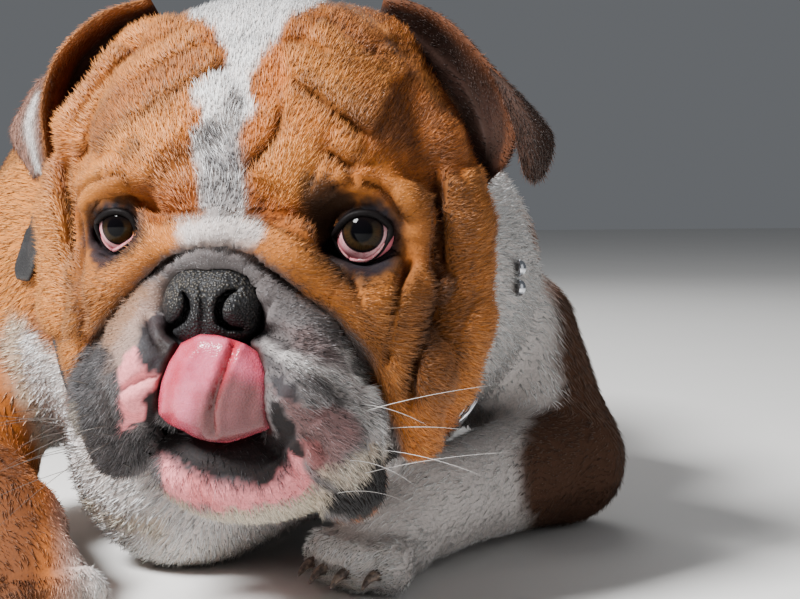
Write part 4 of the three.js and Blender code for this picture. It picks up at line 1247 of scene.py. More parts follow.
class BULLDOG_OT_skin(bpy.types.Operator):
    """Make the skin of the whole dog with its folds, ears, markings, and painted shade and light"""
    bl_idname = "bulldog.skin"
    bl_label = "Skin"

    def execute(self, context):
        settings = context.scene.bulldog_skin
        verts, faces = skin_arrays(settings.depth / MILLI, settings.cell / MILLI)
        normals = corner_normals(verts, faces)
        head = head_field(verts)
        rest = np.minimum(flesh(NECK_MASSES, verts), flesh(BODY_MASSES, verts))
        legs = flesh(LIMB_MASSES, verts)
        in_legs = ease(np.minimum(rest, head) - legs, -2, 8)
        in_head = ease(rest - head, -4, 6) * (1 - in_legs)
        facing = ease(-(normals @ AHEAD), 0.02, 0.35)
        face_mask = in_head * facing
        mark_mask = in_head * ease(-(normals @ AHEAD), -0.4, -0.1)
        verts, shade, ridge_highlight = folded(verts, faces, face_mask)
        uv, _ = sighted(verts)
        normals = corner_normals(verts, faces)
        colour, bare = head_coat(verts, uv, shade, ridge_highlight, mark_mask)
        side = body_coat(verts)
        body_mask = (1 - in_head) * ease(-(normals @ AHEAD), -0.4, -0.1)
        marked(side, np.zeros(len(verts)), verts, uv, body_mask, BODY_MARKS_AND_PAINTED_SHADE)
        # Round the tongue the inside of the mouth is painted near-black red, partly its own lining and partly
        # painted shade
        inner = np.zeros(len(verts))
        close = np.linalg.norm(to_head(verts) - TONGUE_AT, axis=1) < 50
        inner[close] = 1 - ease(tongue_field(to_head(verts[close])), 0.5, 3.0)
        colour = mingled(colour, np.array(MOUTH_RED), inner)
        bare = np.maximum(bare, inner) * in_head
        colour = mingled(side, colour, in_head)
        length = hair_length(verts, in_head, in_legs)
        lie = lie_of(verts, normals, in_head, in_legs)
        for name, rows in EAR_SHEETS.items():
            along, across = EAR_GRIDS[name.split("_")[1]]
            more, sides, spot = ear_mesh(rows, along, across, EAR_THICK)
            tints, lies, bares = self.ear_coat(name, more, sides, spot)
            faces = np.concatenate([faces, sides + len(verts)])
            verts = np.concatenate([verts, more])
            colour = np.concatenate([colour, tints])
            lie = np.concatenate([lie, lies])
            bare = np.concatenate([bare, bares])
            length = np.concatenate([length, np.full(len(more), 0.8)])
        skin = mesh_piece("skin", verts, faces)
        put_attribute(skin, "MarkingsAndPaintedLight", "FLOAT_COLOR", colour)
        put_attribute(skin, "Lie", "FLOAT_VECTOR", lie)
        put_attribute(skin, "Bare", "FLOAT", bare)
        put_attribute(skin, "Hair", "FLOAT", length)
        finish = Finish("Skin and undercoat", Roughness=0.62, Specular_IOR_Level=0.06)
        markings_and_painted_light = finish.attribute("MarkingsAndPaintedLight")
        bareness = finish.attribute("Bare", "Fac")
        speckle = finish.noise(700.0, 4.0, 0.7)
        blotch = finish.noise(90.0, 3.0)
        darker = finish.mix(0.75, markings_and_painted_light, (0.62, 0.55, 0.52, 1), "MULTIPLY")
        undercoat = finish.mix(bareness, darker, markings_and_painted_light)
        colour = finish.mix(speckle.eased(0.35, 0.7) * 0.3, undercoat, (0.03, 0.02, 0.015, 1))
        warm = blotch.eased(0.4, 0.75) * bareness * 0.35
        colour = finish.mix(warm, colour, (0.42, 0.12, 0.12, 1), "SOFT_LIGHT")
        pores = finish.cells(900.0)
        finish.bump(pores * 0.5 + speckle * 0.7, 0.35, 0.0006)
        rough = 0.68 - bareness * 0.26 + speckle * 0.1
        paired = [f"{name}_{side}" for name in ("ear", "foreleg", "forepaw", "hind_shank", "hind_paw")
                  for side in ("left", "right")]
        finish_piece(skin, finish.feed(Base_Color=colour, Roughness=rough),
                     "head", "neck", "torso", "lower_jaw", *paired, "tail", slot="coat_fawn")
        return {"FINISHED"}

    @staticmethod
    def ear_coat(name, verts, faces, spot):
        normals = corner_normals(verts, faces)
        along, across = spot.T
        front = ease(-(normals @ AHEAD), -0.1, 0.3)
        tint = 0.8 + 0.4 * ripple(verts, 12, 23)
        ear = name.split("_")[0]
        back = colour_of("brown" if ear == "left" else "russet") * tint[:, None]
        if name.endswith("shell"):
            inner = np.array(EAR_INSIDE) * tint[:, None]
            rim = ease(across, 0.8, 0.93)
            rim_colour = np.array(EAR_RIMS[ear]) * tint[:, None]
            root = 1 - ease(across, 0.02, 0.16)
            root_colour = colour_of("tan") * 0.7 * tint[:, None]
            front_colour = mingled(mingled(inner, rim_colour, rim), root_colour, root)
            bare = 0.4 * front * (1 - rim)
        else:
            front_colour = np.array(EAR_FLAPS[ear]) * tint[:, None]
            if ear == "right":
                stripe = np.exp(-((across - 0.34) / 0.16) ** 2) * ease(along, 0.12, 0.3)
                front_colour = mingled(front_colour, colour_of("white"), stripe)
            bare = 0.1 * front
        colour = mingled(back, front_colour, front)
        rows = EAR_SHEETS[name]
        down = unit(seen(*rows[-1][1]) - seen(*rows[0][1]))
        out = unit(seen(*rows[2][2]) - seen(*rows[2][0]))
        way = down * 0.6 + out * 0.5 if name.endswith("shell") else down
        lie = np.tile(way, (len(verts), 1))
        lie = unit(lie - normals * (lie * normals).sum(1)[:, None])
        return colour, lie, bare


def on_ball(uv, centre, radius):
    """Where the line of sight through (u, v) meets a ball, or passes nearest to it."""
    ray = unit(sight_line(*uv))
    middle = (centre - SIGHT_AT) @ ray
    foot = SIGHT_AT + ray * middle
    gap = np.linalg.norm(foot - centre)
    if gap >= radius:
        return centre + (foot - centre) / gap * radius
    return foot - ray * math.sqrt(radius ** 2 - gap ** 2)


def tube(points, radii, around=10, closed=False):
    """A round rod along points, its ends closed to a point unless it runs round."""
    points = np.asarray(points, float)
    count = len(points)
    if closed:
        tangent = unit(np.roll(points, -1, 0) - np.roll(points, 1, 0))
    else:
        tangent = unit(np.gradient(points, axis=0))
    side = unit(np.cross(tangent, AHEAD + 0.013))
    up = np.cross(side, tangent)
    angle = np.linspace(0, 2 * math.pi, around, endpoint=False)
    radii = np.broadcast_to(radii, count)
    ring = side[:, None] * np.cos(angle)[:, None] + up[:, None] * np.sin(angle)[:, None]
    ring = ring * radii[:, None, None]
    verts = (points[:, None] + ring).reshape(-1, 3)
    rows = count if closed else count - 1
    i, k = np.meshgrid(np.arange(rows), np.arange(around), indexing="ij")
    a = (i * around + k).ravel()
    b = (i * around + (k + 1) % around).ravel()
    c = ((i + 1) % count * around + k).ravel()
    d = ((i + 1) % count * around + (k + 1) % around).ravel()
    faces = np.concatenate([np.stack([a, c, b], 1), np.stack([b, c, d], 1)])
    if not closed:
        verts = np.concatenate([verts, points[:1], points[-1:]])
        first, last = len(verts) - 2, len(verts) - 1
        turn = np.arange(around)
        onward = (turn + 1) % around
        end = (count - 1) * around
        faces = np.concatenate([faces, np.stack([np.full(around, first), turn, onward], 1),
                                np.stack([np.full(around, last), end + onward, end + turn], 1)])
    return verts, outward(verts, faces, points.mean(0))


def joined(parts):
    verts, faces, shift = [], [], 0
    for part_verts, part_faces in parts:
        verts.append(part_verts)
        faces.append(np.asarray(part_faces) + shift)
        shift += len(part_verts)
    return np.concatenate(verts), np.concatenate(faces)


class BULLDOG_OT_eyes(bpy.types.Operator):
    """Set the two eyes with their irises, haws and lid rims"""
    bl_idname = "bulldog.eyes"
    bl_label = "Eyes"

    def execute(self, context):
        settings = context.scene.bulldog_eyes
        for name, eye in EYES.items():
            self.ball(name, eye, settings)
            self.rims(name, eye, settings)
        return {"FINISHED"}

    @staticmethod
    def ball(name, eye, settings):
        centre = from_head(eye)
        place, iris = IRISES[name]
        gaze = unit(on_ball(place, centre, EYE_RADIUS) - centre)
        around, rings = 64, 56
        side = unit(np.cross(gaze, (0, 0, 1)))
        top = np.cross(side, gaze)
        reach = math.asin(iris / EYE_RADIUS)
        verts, tilt = [centre + gaze * EYE_RADIUS * (1 + CORNEA_RISE)], [0.0]
        for i in range(1, rings):
            a = math.pi * (i / rings) ** 1.3
            bulge = EYE_RADIUS * (1 + CORNEA_RISE * max(0.0, 1 - (a / (reach * 1.12)) ** 2) ** 1.2)
            for k in range(around):
                b = 2 * math.pi * k / around
                spoke = side * math.cos(b) + top * math.sin(b)
                verts.append(centre + bulge * (gaze * math.cos(a) + spoke * math.sin(a)))
                tilt.append(a)
        verts.append(centre - gaze * EYE_RADIUS)
        tilt.append(math.pi)
        faces = []
        for k in range(around):
            n = (k + 1) % around
            faces.append((0, 1 + k, 1 + n))
            base = 1 + (rings - 2) * around
            faces.append((len(verts) - 1, base + n, base + k))
            for i in range(rings - 2):
                a, b = 1 + i * around + k, 1 + i * around + n
                faces += [(a, a + around, b), (b, a + around, b + around)]
        verts = np.array(verts)
        piece = mesh_piece(f"eyeball_{name}", verts, outward(verts, np.array(faces), centre))
        tilt = np.array(tilt) / reach
        spin = np.arctan2((verts - centre) @ top, (verts - centre) @ side)
        put_attribute(piece, "Tilt", "FLOAT", tilt)
        put_attribute(piece, "Ray", "FLOAT_VECTOR",
                      np.column_stack([np.cos(spin) * 3, np.sin(spin) * 3, tilt * 0.7]))
        uv, _ = sighted(verts)
        put_attribute(piece, "Shadow", "FLOAT", ease(uv[:, 1] - min(v for _, v in OPENINGS[name]), 20, 4))
        finish = Finish(f"Eye {name}", Roughness=0.25, Coat_Weight=0.22, Coat_Roughness=0.02, Coat_IOR=1.4,
                        Specular_IOR_Level=0.0)
        out = finish.attribute("Tilt", "Fac")
        rays = finish.noise(5.0, 5.0, 0.7, finish.attribute("Ray", "Vector"))
        cloud = finish.noise(260.0, 3.0)
        veins = finish.noise(480.0, 5.0, 0.65)
        amber = (*settings.amber, 1)
        pale = (0.032, 0.019, 0.008, 1)
        iris_colour = finish.mix(rays.eased(0.35, 0.65), amber, pale)
        iris_colour = finish.mix(out.eased(0.95, 0.35) * 0.6, iris_colour, (0.018, 0.016, 0.008, 1))
        iris_colour = finish.mix(cloud.eased(0.4, 0.7) * 0.35, iris_colour, (0.045, 0.016, 0.006, 1))
        pupil = (out + rays * 0.05).eased(0.60, 0.44)
        ring = out.eased(0.78, 0.96)
        colour = finish.mix(pupil, iris_colour, (0.0015, 0.0015, 0.002, 1))
        colour = finish.mix(ring, colour, (0.006, 0.005, 0.006, 1))
        white = finish.mix(veins.eased(0.5, 0.7), (0.56, 0.30, 0.32, 1), (0.42, 0.12, 0.15, 1))
        white = finish.mix(out.eased(1.12, 1.6), white, (*settings.haw, 1))
        colour = finish.mix((out + rays * 0.04).eased(1.0, 1.07), colour, white)
        colour = finish.mix(finish.attribute("Shadow", "Fac") * 0.95, colour, (0.002, 0.0015, 0.002, 1))
        finish_piece(piece, finish.feed(Base_Color=colour), f"eye_{name}", slot="eye")

    @staticmethod
    def rims(name, eye, settings):
        centre = from_head(eye)
        loop = np.array(OPENINGS[name] + OPENINGS[name][:1], float)
        smooth = curve_through(loop, 97)[:-1]
        middle = smooth.mean(0)
        low = ease(smooth[:, 1] - middle[1], -6, 8)
        outer = middle + (smooth - middle) * (1.09 - 0.07 * low[:, None])
        edge = np.array([on_ball(at, centre, EYE_RADIUS + 0.7) for at in outer])
        verts, faces = tube(edge, 1.5 - 0.8 * low, 10, closed=True)
        piece = mesh_piece(f"lid_rim_{name}", verts, faces)
        finish = Finish(f"Lid rim {name}", Roughness=0.5, Specular_IOR_Level=0.06)
        wrinkle = finish.noise(900.0, 4.0, 0.6)
        finish.bump(wrinkle, 0.5, 0.0004)
        colour = finish.mix(wrinkle, (0.002, 0.0018, 0.002, 1), (0.009, 0.007, 0.007, 1))
        finish_piece(piece, finish.feed(Base_Color=colour), slot="nose")
        inner = middle + (smooth - middle) * 0.93
        lower = np.flatnonzero(low > 0.8)
        start = lower[np.argmax(np.diff(np.concatenate([[lower[-1] - len(smooth)], lower])) > 1)]
        order = [(start + i) % len(smooth) for i in range(len(lower))]
        band = np.array([on_ball(inner[i], centre, EYE_RADIUS + 0.25) for i in order])
        taper = np.sin(np.linspace(0.12, math.pi - 0.12, len(order))) ** 0.5
        verts, faces = tube(band, 0.95 * taper, 10)
        piece = mesh_piece(f"haw_{name}", verts, faces)
        finish = Finish(f"Haw {name}", Roughness=0.18, Coat_Weight=0.6, Coat_Roughness=0.08)
        veins = finish.noise(700.0, 5.0, 0.65)
        finish.bump(veins, 0.25, 0.0003)
        colour = finish.mix(veins.eased(0.4, 0.7), (*settings.haw, 1), (0.62, 0.33, 0.32, 1))
        finish_piece(piece, finish.feed(Base_Color=colour), slot="tongue")


class BULLDOG_OT_nose(bpy.types.Operator):
    """Make the nose pad with its nostrils and pebbled skin"""
    bl_idname = "bulldog.nose"
    bl_label = "Nose"
    # Strokes as seen in the view, each point with its half width in view units, and how deep they go
    holes = [
        ([(183, 292, 0.6), (187, 300, 2.2), (187, 309, 3.4), (183, 318, 3.6), (175, 325, 2.8),
          (165, 330, 1.2)], 11.0),
        ([(236, 290, 0.8), (228, 293, 3.0), (221, 300, 4.0), (218, 310, 3.8), (220, 321, 3.4),
          (229, 328, 2.6), (242, 329, 1.0)], 11.0),
        ([(203, 282, 0.6), (203, 300, 1.4), (203, 318, 1.8), (204, 336, 2.2)], 2.4),
    ]
    # Swellings of the pad as seen in the view: place, width and height
    lobes = [((173, 305), 11, 1.6), ((232, 311), 7, 1.6), ((251, 302), 9, 0.8), ((192, 300), 5, 0.6),
             ((210, 300), 5, 0.6), ((190, 276), 12, 0.5), ((222, 276), 12, 0.5)]

    def execute(self, context):
        def field(q):
            p = from_head(q)
            uv, away = sighted(p)
            scale = away / SIGHT_REACH
            d = flesh(NOSE_MASSES, q)
            for (u, v), wide, height in self.lobes:
                near = np.hypot(uv[:, 0] - u, uv[:, 1] - v) / wide
                d = d - height * np.exp(-near ** 2) * ease(-q[:, 1], 14, 26)
            for points, deep in self.holes:
                gap = np.min([self.stroke(uv, a, b) for a, b in zip(points, points[1:])], axis=0) * scale
                floor = deep - 36.5 + 0.02 * (q[:, 0] + 3) ** 2
                d = carve(d, np.maximum(gap, q[:, 1] - floor), 3.0)
            return d

        verts, faces = nets(field, (-32, -44, -52), (26, 0, -4), 0.75)
        verts = drawn(field, verts, 1)
        # Deep in the nostrils the pad is painted near black, as painted shade
        depth = ease(flesh(NOSE_MASSES, verts), -1.2, -3.2)
        piece = mesh_piece("nose_pad", from_head(verts), faces)
        put_attribute(piece, "NostrilShade", "FLOAT", depth)
        put_attribute(piece, "Top", "FLOAT", ease(verts[:, 2], -32, -16))
        finish = Finish("Nose leather", Roughness=0.32, Specular_IOR_Level=0.28)
        pebble = finish.cells(780.0)
        wide = finish.noise(60.0, 3.0)
        finish.bump(pebble.eased(0.75, 0.1), 0.75, 0.0007)
        # The pad's top and its pebbles' tops are painted lighter: painted highlight, mixed with the grey-tan
        # of dry skin
        dry_top_and_highlight = finish.attribute("Top", "Fac") * 0.65 + wide.eased(0.4, 0.7) * 0.4
        dry_top_and_highlight = pebble.eased(0.6, 0.15) * dry_top_and_highlight
        colour = finish.mix(dry_top_and_highlight, (0.008, 0.008, 0.009, 1), (0.065, 0.056, 0.044, 1))
        colour = finish.mix(finish.attribute("NostrilShade", "Fac"), colour, (0.002, 0.002, 0.002, 1))
        rough = 0.30 + pebble * 0.35
        finish_piece(piece, finish.feed(Base_Color=colour, Roughness=rough), "nose", slot="nose")
        return {"FINISHED"}

    @staticmethod
    def stroke(uv, a, b):
        """Distance to a stroke whose half width changes from its first point to its last."""
        start, run = np.array(a[:2], float), np.array(b[:2], float) - a[:2]
        t = np.clip(((uv - start) @ run) / (run @ run), 0, 1)
        return np.hypot(*(uv - start - t[:, None] * run).T) - (a[2] + (b[2] - a[2]) * t)


class BULLDOG_OT_tongue(bpy.types.Operator):
    """Make the tongue with its grooves and wet papillae"""
    bl_idname = "bulldog.tongue"
    bl_label = "Tongue"
    # Grooves as seen in the view: points, depth and width
    grooves = [
        ([(236, 340), (231, 352), (226, 364), (221, 378), (214, 396), (211, 414), (212, 432)], 2.4, 1.4),
        ([(190, 344), (178, 360), (171, 380), (168, 402), (170, 420)], 1.0, 1.8),
        ([(252, 356), (256, 376), (254, 398), (248, 420)], 0.6, 2.6),
    ]
    # The darker hollow near the tip, painted as shade, as seen in the view
    shadow = [(205, 392), (232, 372), (262, 384), (276, 430), (236, 448), (196, 446), (190, 424)]

    def execute(self, context):
        verts, faces = nets(tongue_field, (-32, -52, -102), (34, 36, -30), 1.5)
        verts = from_head(drawn(tongue_field, verts, 2))
        uv, away = sighted(verts)
        normals = corner_normals(verts, faces)
        facing = ease(-(normals @ AHEAD), 0.05, 0.4)
        push = np.zeros(len(verts))
        red = np.zeros(len(verts))
        for points, depth, wide in self.grooves:
            d, _, _ = line_distance(uv, points)
            s = d * away / SIGHT_REACH
            push += 0.25 * depth * np.exp(-((s - 2.2 * wide) / wide) ** 2) - depth * np.exp(-(s / wide) ** 2)
            red = np.maximum(red, min(1.0, depth / 2) * np.exp(-(s / (1.7 * wide)) ** 2))
        verts = verts + normals * (push * facing)[:, None]
        rim = ease(normals @ AHEAD, -0.55, -0.1)
        piece = mesh_piece("tongue_flesh", verts, faces)
        put_attribute(piece, "Red", "FLOAT", np.clip(red * facing + rim * 0.7, 0, 1))
        # The hollow near the tip is painted dark brown as painted shade
        shaded = ease(-area_distance(uv, self.shadow), -14, 12)
        put_attribute(piece, "TipShade", "FLOAT", shaded * facing)
        finish = Finish("Wet tongue", Roughness=0.3, Coat_Weight=0.28, Coat_Roughness=0.05,
                        Specular_IOR_Level=0.25, Subsurface_Weight=0.12, Subsurface_Scale=0.004)
        red_wire = finish.attribute("Red", "Fac")
        tip_shade = finish.attribute("TipShade", "Fac")
        cloud = finish.noise(120.0, 4.0)
        buds = finish.cells(1300.0)
        colour = finish.mix(cloud.eased(0.3, 0.7), (0.40, 0.060, 0.100, 1), (0.56, 0.125, 0.195, 1))
        colour = finish.mix(red_wire, colour, (0.36, 0.02, 0.035, 1))
        colour = finish.mix(tip_shade * 0.9, colour, (0.085, 0.028, 0.026, 1))
        finish.bump(buds * 0.6 + cloud, 0.35, 0.0008)
        rough = 0.16 + buds * 0.2
        finish_piece(piece, finish.feed(Base_Color=colour, Roughness=rough), "tongue", slot="tongue")
        return {"FINISHED"}


class BULLDOG_OT_claws(bpy.types.Operator):
    """Set the claws in the toes"""
    bl_idname = "bulldog.claws"
    bl_label = "Claws"
    long, thick, clear = 11, 2.6, 0.3

    def execute(self, context):
        parts = []
        for root, way in CLAWS:
            t = np.linspace(0, 1, 10)[:, None]
            path = root + way * self.long * t + np.array([0, 0, 1.0]) * (3.0 * t - 7.5 * t ** 2)
            parts.append(tube(path, self.thick * (1 - t[:, 0]) ** 0.6 + 0.25, 12))
        verts, faces = joined(parts)
        verts[:, 2] = np.maximum(verts[:, 2], self.clear)
        piece = mesh_piece("claws", verts, faces)
        finish = Finish("Horn", Roughness=0.4)
        streak = finish.noise(420.0, 4.0)
        finish.bump(streak, 0.3, 0.0004)
        colour = finish.mix(streak.eased(0.35, 0.7), (0.05, 0.035, 0.03, 1), (0.30, 0.22, 0.17, 1))
        finish_piece(piece, finish.feed(Base_Color=colour), slot="nose")
        return {"FINISHED"}


class BULLDOG_OT_whiskers(bpy.types.Operator):
    """Set the long whiskers of both lips"""
    bl_idname = "bulldog.whiskers"
    bl_label = "Whiskers"
    seed = 31

    def execute(self, context):
        dice = np.random.default_rng(self.seed)
        for name, side, tint in (("whiskers_right", -1, (0.03, 0.024, 0.02, 1)),
                                 ("whiskers_left", 1, (0.72, 0.70, 0.68, 1))):
            parts = []
            for _ in range(18 if side < 0 else 8):
                start = np.array([side * dice.uniform(38, 62), dice.uniform(-28, -8), dice.uniform(-98, -58)])
                root = drawn(lambda p: flesh(HEAD_MASSES, p), start[None], 8)[0]
                way = unit(np.array([side * 1.0, dice.uniform(-0.35, 0.35), dice.uniform(-0.6, 0.35)]))
                sag = np.array([0, 0.2, -1.0]) * dice.uniform(4, 12)
                long = dice.uniform(26, 62)
                t = np.linspace(0, 1, 9)[:, None]
                path = from_head(root - way * 1.0 + way * long * t) + sag * t ** 2
                parts.append(tube(path, (0.19 if side < 0 else 0.13) * (1 - 0.8 * t[:, 0]), 4))
            verts, faces = joined(parts)
            piece = mesh_piece(name, verts, faces)
            finish = Finish(name.replace("_", " "), Roughness=0.4)
            streak = finish.noise(200.0, 2.0)
            colour = finish.mix(streak * 0.4, tint, (0.25, 0.2, 0.17, 1))
            finish_piece(piece, finish.feed(Base_Color=colour), slot="coat_white")
        return {"FINISHED"}


COLLAR_AT = np.array([0.0, -150.0, 140.0])
COLLAR_AXIS = unit(np.array([0.078, 0.967, -0.24]))
COLLAR_SIDE = unit(np.array([1.0, 0, 0]) - COLLAR_AXIS * COLLAR_AXIS[0])
COLLAR_UP = np.cross(COLLAR_SIDE, COLLAR_AXIS)
STRAP_WIDE = 22.0
STRAP_THICK = 3.0
STUD_TURNS = (-1.0, -6.0)
STUD_RADIUS = 4.4
RING_TURN = -38.0
RING_RADIUS = 10.0
RING_ROD = 1.6
RING_GAP = 4.35
RING_DROP = 6.0
RING_REACH = 116.0
COLLAR_LEAST = 40.0
COLLAR_STEP = 0.5
COLLAR_STEPS = 160


def collar_radii(count):
    """How far the coat's surface lies from the collar's middle, all round, smoothed."""
    rays = 40
    angle = np.linspace(0, 2 * math.pi, rays, endpoint=False)
    way = COLLAR_SIDE * np.cos(angle)[:, None] + COLLAR_UP * np.sin(angle)[:, None]
    reach = np.full(rays, COLLAR_LEAST)
    going = np.ones(rays, bool)
    while going.any():
        going = going & (trunk_field(COLLAR_AT + way * reach[:, None]) < 0)
        reach[going] += COLLAR_STEP
    smooth = sum(np.roll(reach, k) for k in range(-2, 3)) / 5
    at = np.linspace(0, rays, count, endpoint=False)
    return np.interp(at, np.arange(rays + 1), np.append(smooth, smooth[0]))


def radius_at(angle, radii):
    turns = np.linspace(0, 2 * math.pi, len(radii) + 1)
    return np.interp(angle % (2 * math.pi), turns, np.append(radii, radii[0]))


def strap_lift(angle):
    """The strap lies sunk in the coat, and shows only where its ring hangs."""
    return -9.0 + 10.0 * np.exp(-(((np.degrees(angle) + 180) % 360 - 180 - RING_TURN) / 9) ** 2)


def collar_place(angle, radius):
    return COLLAR_AT + (COLLAR_SIDE * np.cos(angle) + COLLAR_UP * np.sin(angle)) * radius


class BULLDOG_OT_collar(bpy.types.Operator):
    """Put the strap, its studs and its ring round the neck"""
    bl_idname = "bulldog.collar"
    bl_label = "Collar"
    # Rows of places of the strap's loose end, as for the ears' sheets
    end_rows = [
        [(47, 206, 660), (43, 203, 664), (39, 205, 668)],
        [(44, 226, 668), (36, 220, 690), (29, 226, 698)],
        [(42, 246, 672), (32, 242, 694), (21, 248, 702)],
        [(36, 264, 688), (27, 261, 697), (15, 267, 704)],
        [(29, 281, 694), (23, 281, 698), (17, 279, 702)],
    ]

    def execute(self, context):
        count = COLLAR_STEPS
        radii = collar_radii(count)
        half, thick = STRAP_WIDE / 2, STRAP_THICK
        edge = [(half, -thick + 0.8), (half, -0.8), (half - 0.8, 0), (half - 2.4, 0.05), (half - 3.0, -0.35),
                (half - 3.6, 0.05)]
        profile = [(-across, lift) for across, lift in edge] + edge[::-1]
        profile += [(half - 0.8, -thick), (-half + 0.8, -thick)]
        verts, faces = [], []
        for i in range(count):
            angle = 2 * math.pi * i / count
            for across, lift in profile:
                verts.append(collar_place(angle, radii[i] + strap_lift(angle) + lift) + COLLAR_AXIS * across)
            a, b = i * len(profile), (i + 1) % count * len(profile)
            for k in range(len(profile)):
                m = (k + 1) % len(profile)
                faces.append((a + k, b + k, b + m, a + m))
        verts, faces = np.array(verts), np.array(faces)
        strap = mesh_piece("collar_leather", verts, faces, smooth=False)
        bpy.ops.object.select_all(action="DESELECT")
        strap.select_set(True)
        context.view_layer.objects.active = strap
        bpy.ops.object.mode_set(mode="EDIT")
        bpy.ops.mesh.select_all(action="SELECT")
        bpy.ops.mesh.normals_make_consistent(inside=False)
        bpy.ops.object.mode_set(mode="OBJECT")
        bpy.ops.object.shade_smooth_by_angle(angle=math.radians(35))
        finish = Finish("Black leather", Roughness=0.45)
        grain = finish.cells(1100.0)
        wear = finish.noise(60.0, 4.0)
        finish.bump(grain + wear * 0.5, 0.4, 0.0006)
        colour = finish.mix(wear.eased(0.5, 0.8), (0.010, 0.0095, 0.010, 1), (0.035, 0.033, 0.034, 1))
        leather = finish.feed(Base_Color=colour, Roughness=0.36 + grain * 0.3)
        finish_piece(strap, leather, "collar_strap", slot="strap")
        verts, faces, _ = ear_mesh(self.end_rows, 26, 12, STRAP_THICK)
        tip = mesh_piece("strap_end", verts, faces)
        finish_piece(tip, leather, slot="strap")
        chrome = self.chrome()
        for number, degrees in enumerate(STUD_TURNS, 1):
            angle = math.radians(degrees)
            radius = radius_at(angle, radii)
            foot = collar_place(angle, radius + 3.2)
            out = unit(collar_place(angle, 10.0) - COLLAR_AT)
            bpy.ops.object.select_all(action="DESELECT")
            bpy.ops.mesh.primitive_uv_sphere_add(segments=32, ring_count=20, radius=STUD_RADIUS * MILLI)
            stud = context.object
            stud.name = f"stud_{number}"
            place = np.array([v.co[:] for v in stud.data.vertices])
            place[:, 2] = np.where(place[:, 2] < 0, place[:, 2] * 0.1, place[:, 2] * 0.92)
            turn = Vector(out).to_track_quat("Z", "Y")
            for vertex, co in zip(stud.data.vertices, place):
                vertex.co = Vector(foot * MILLI) + turn @ Vector(co)
            bpy.ops.object.shade_smooth()
            finish_piece(stud, chrome, f"collar_stud_{number}", slot="fittings")
        angle = math.radians(RING_TURN)
        out = unit(collar_place(angle, 10.0) - COLLAR_AT)
        down = unit(np.array([0, 0, -1.0]) - out * -out[2])
        radius = radius_at(angle, radii)
        centre = collar_place(angle, radius + RING_GAP + RING_ROD) + down * RING_DROP
        turns = np.linspace(0, 2 * math.pi, 72, endpoint=False)[:, None]
        path = centre + (np.cross(out, down) * np.cos(turns) + down * np.sin(turns)) * RING_RADIUS
        verts, faces = tube(path, RING_ROD, 14, closed=True)
        ring = mesh_piece("ring", verts, faces)
        finish_piece(ring, chrome, "collar_ring", slot="fittings")
        return {"FINISHED"}

    @staticmethod
    def chrome():
        finish = Finish("Chrome", Metallic=1.0, Roughness=0.12)
        haze = finish.noise(300.0, 4.0)
        finish.bump(haze, 0.1, 0.0002)
        colour = finish.mix(haze, (0.72, 0.74, 0.78, 1), (0.60, 0.62, 0.66, 1))
        return finish.feed(Base_Color=colour, Roughness=0.08 + haze * 0.12)


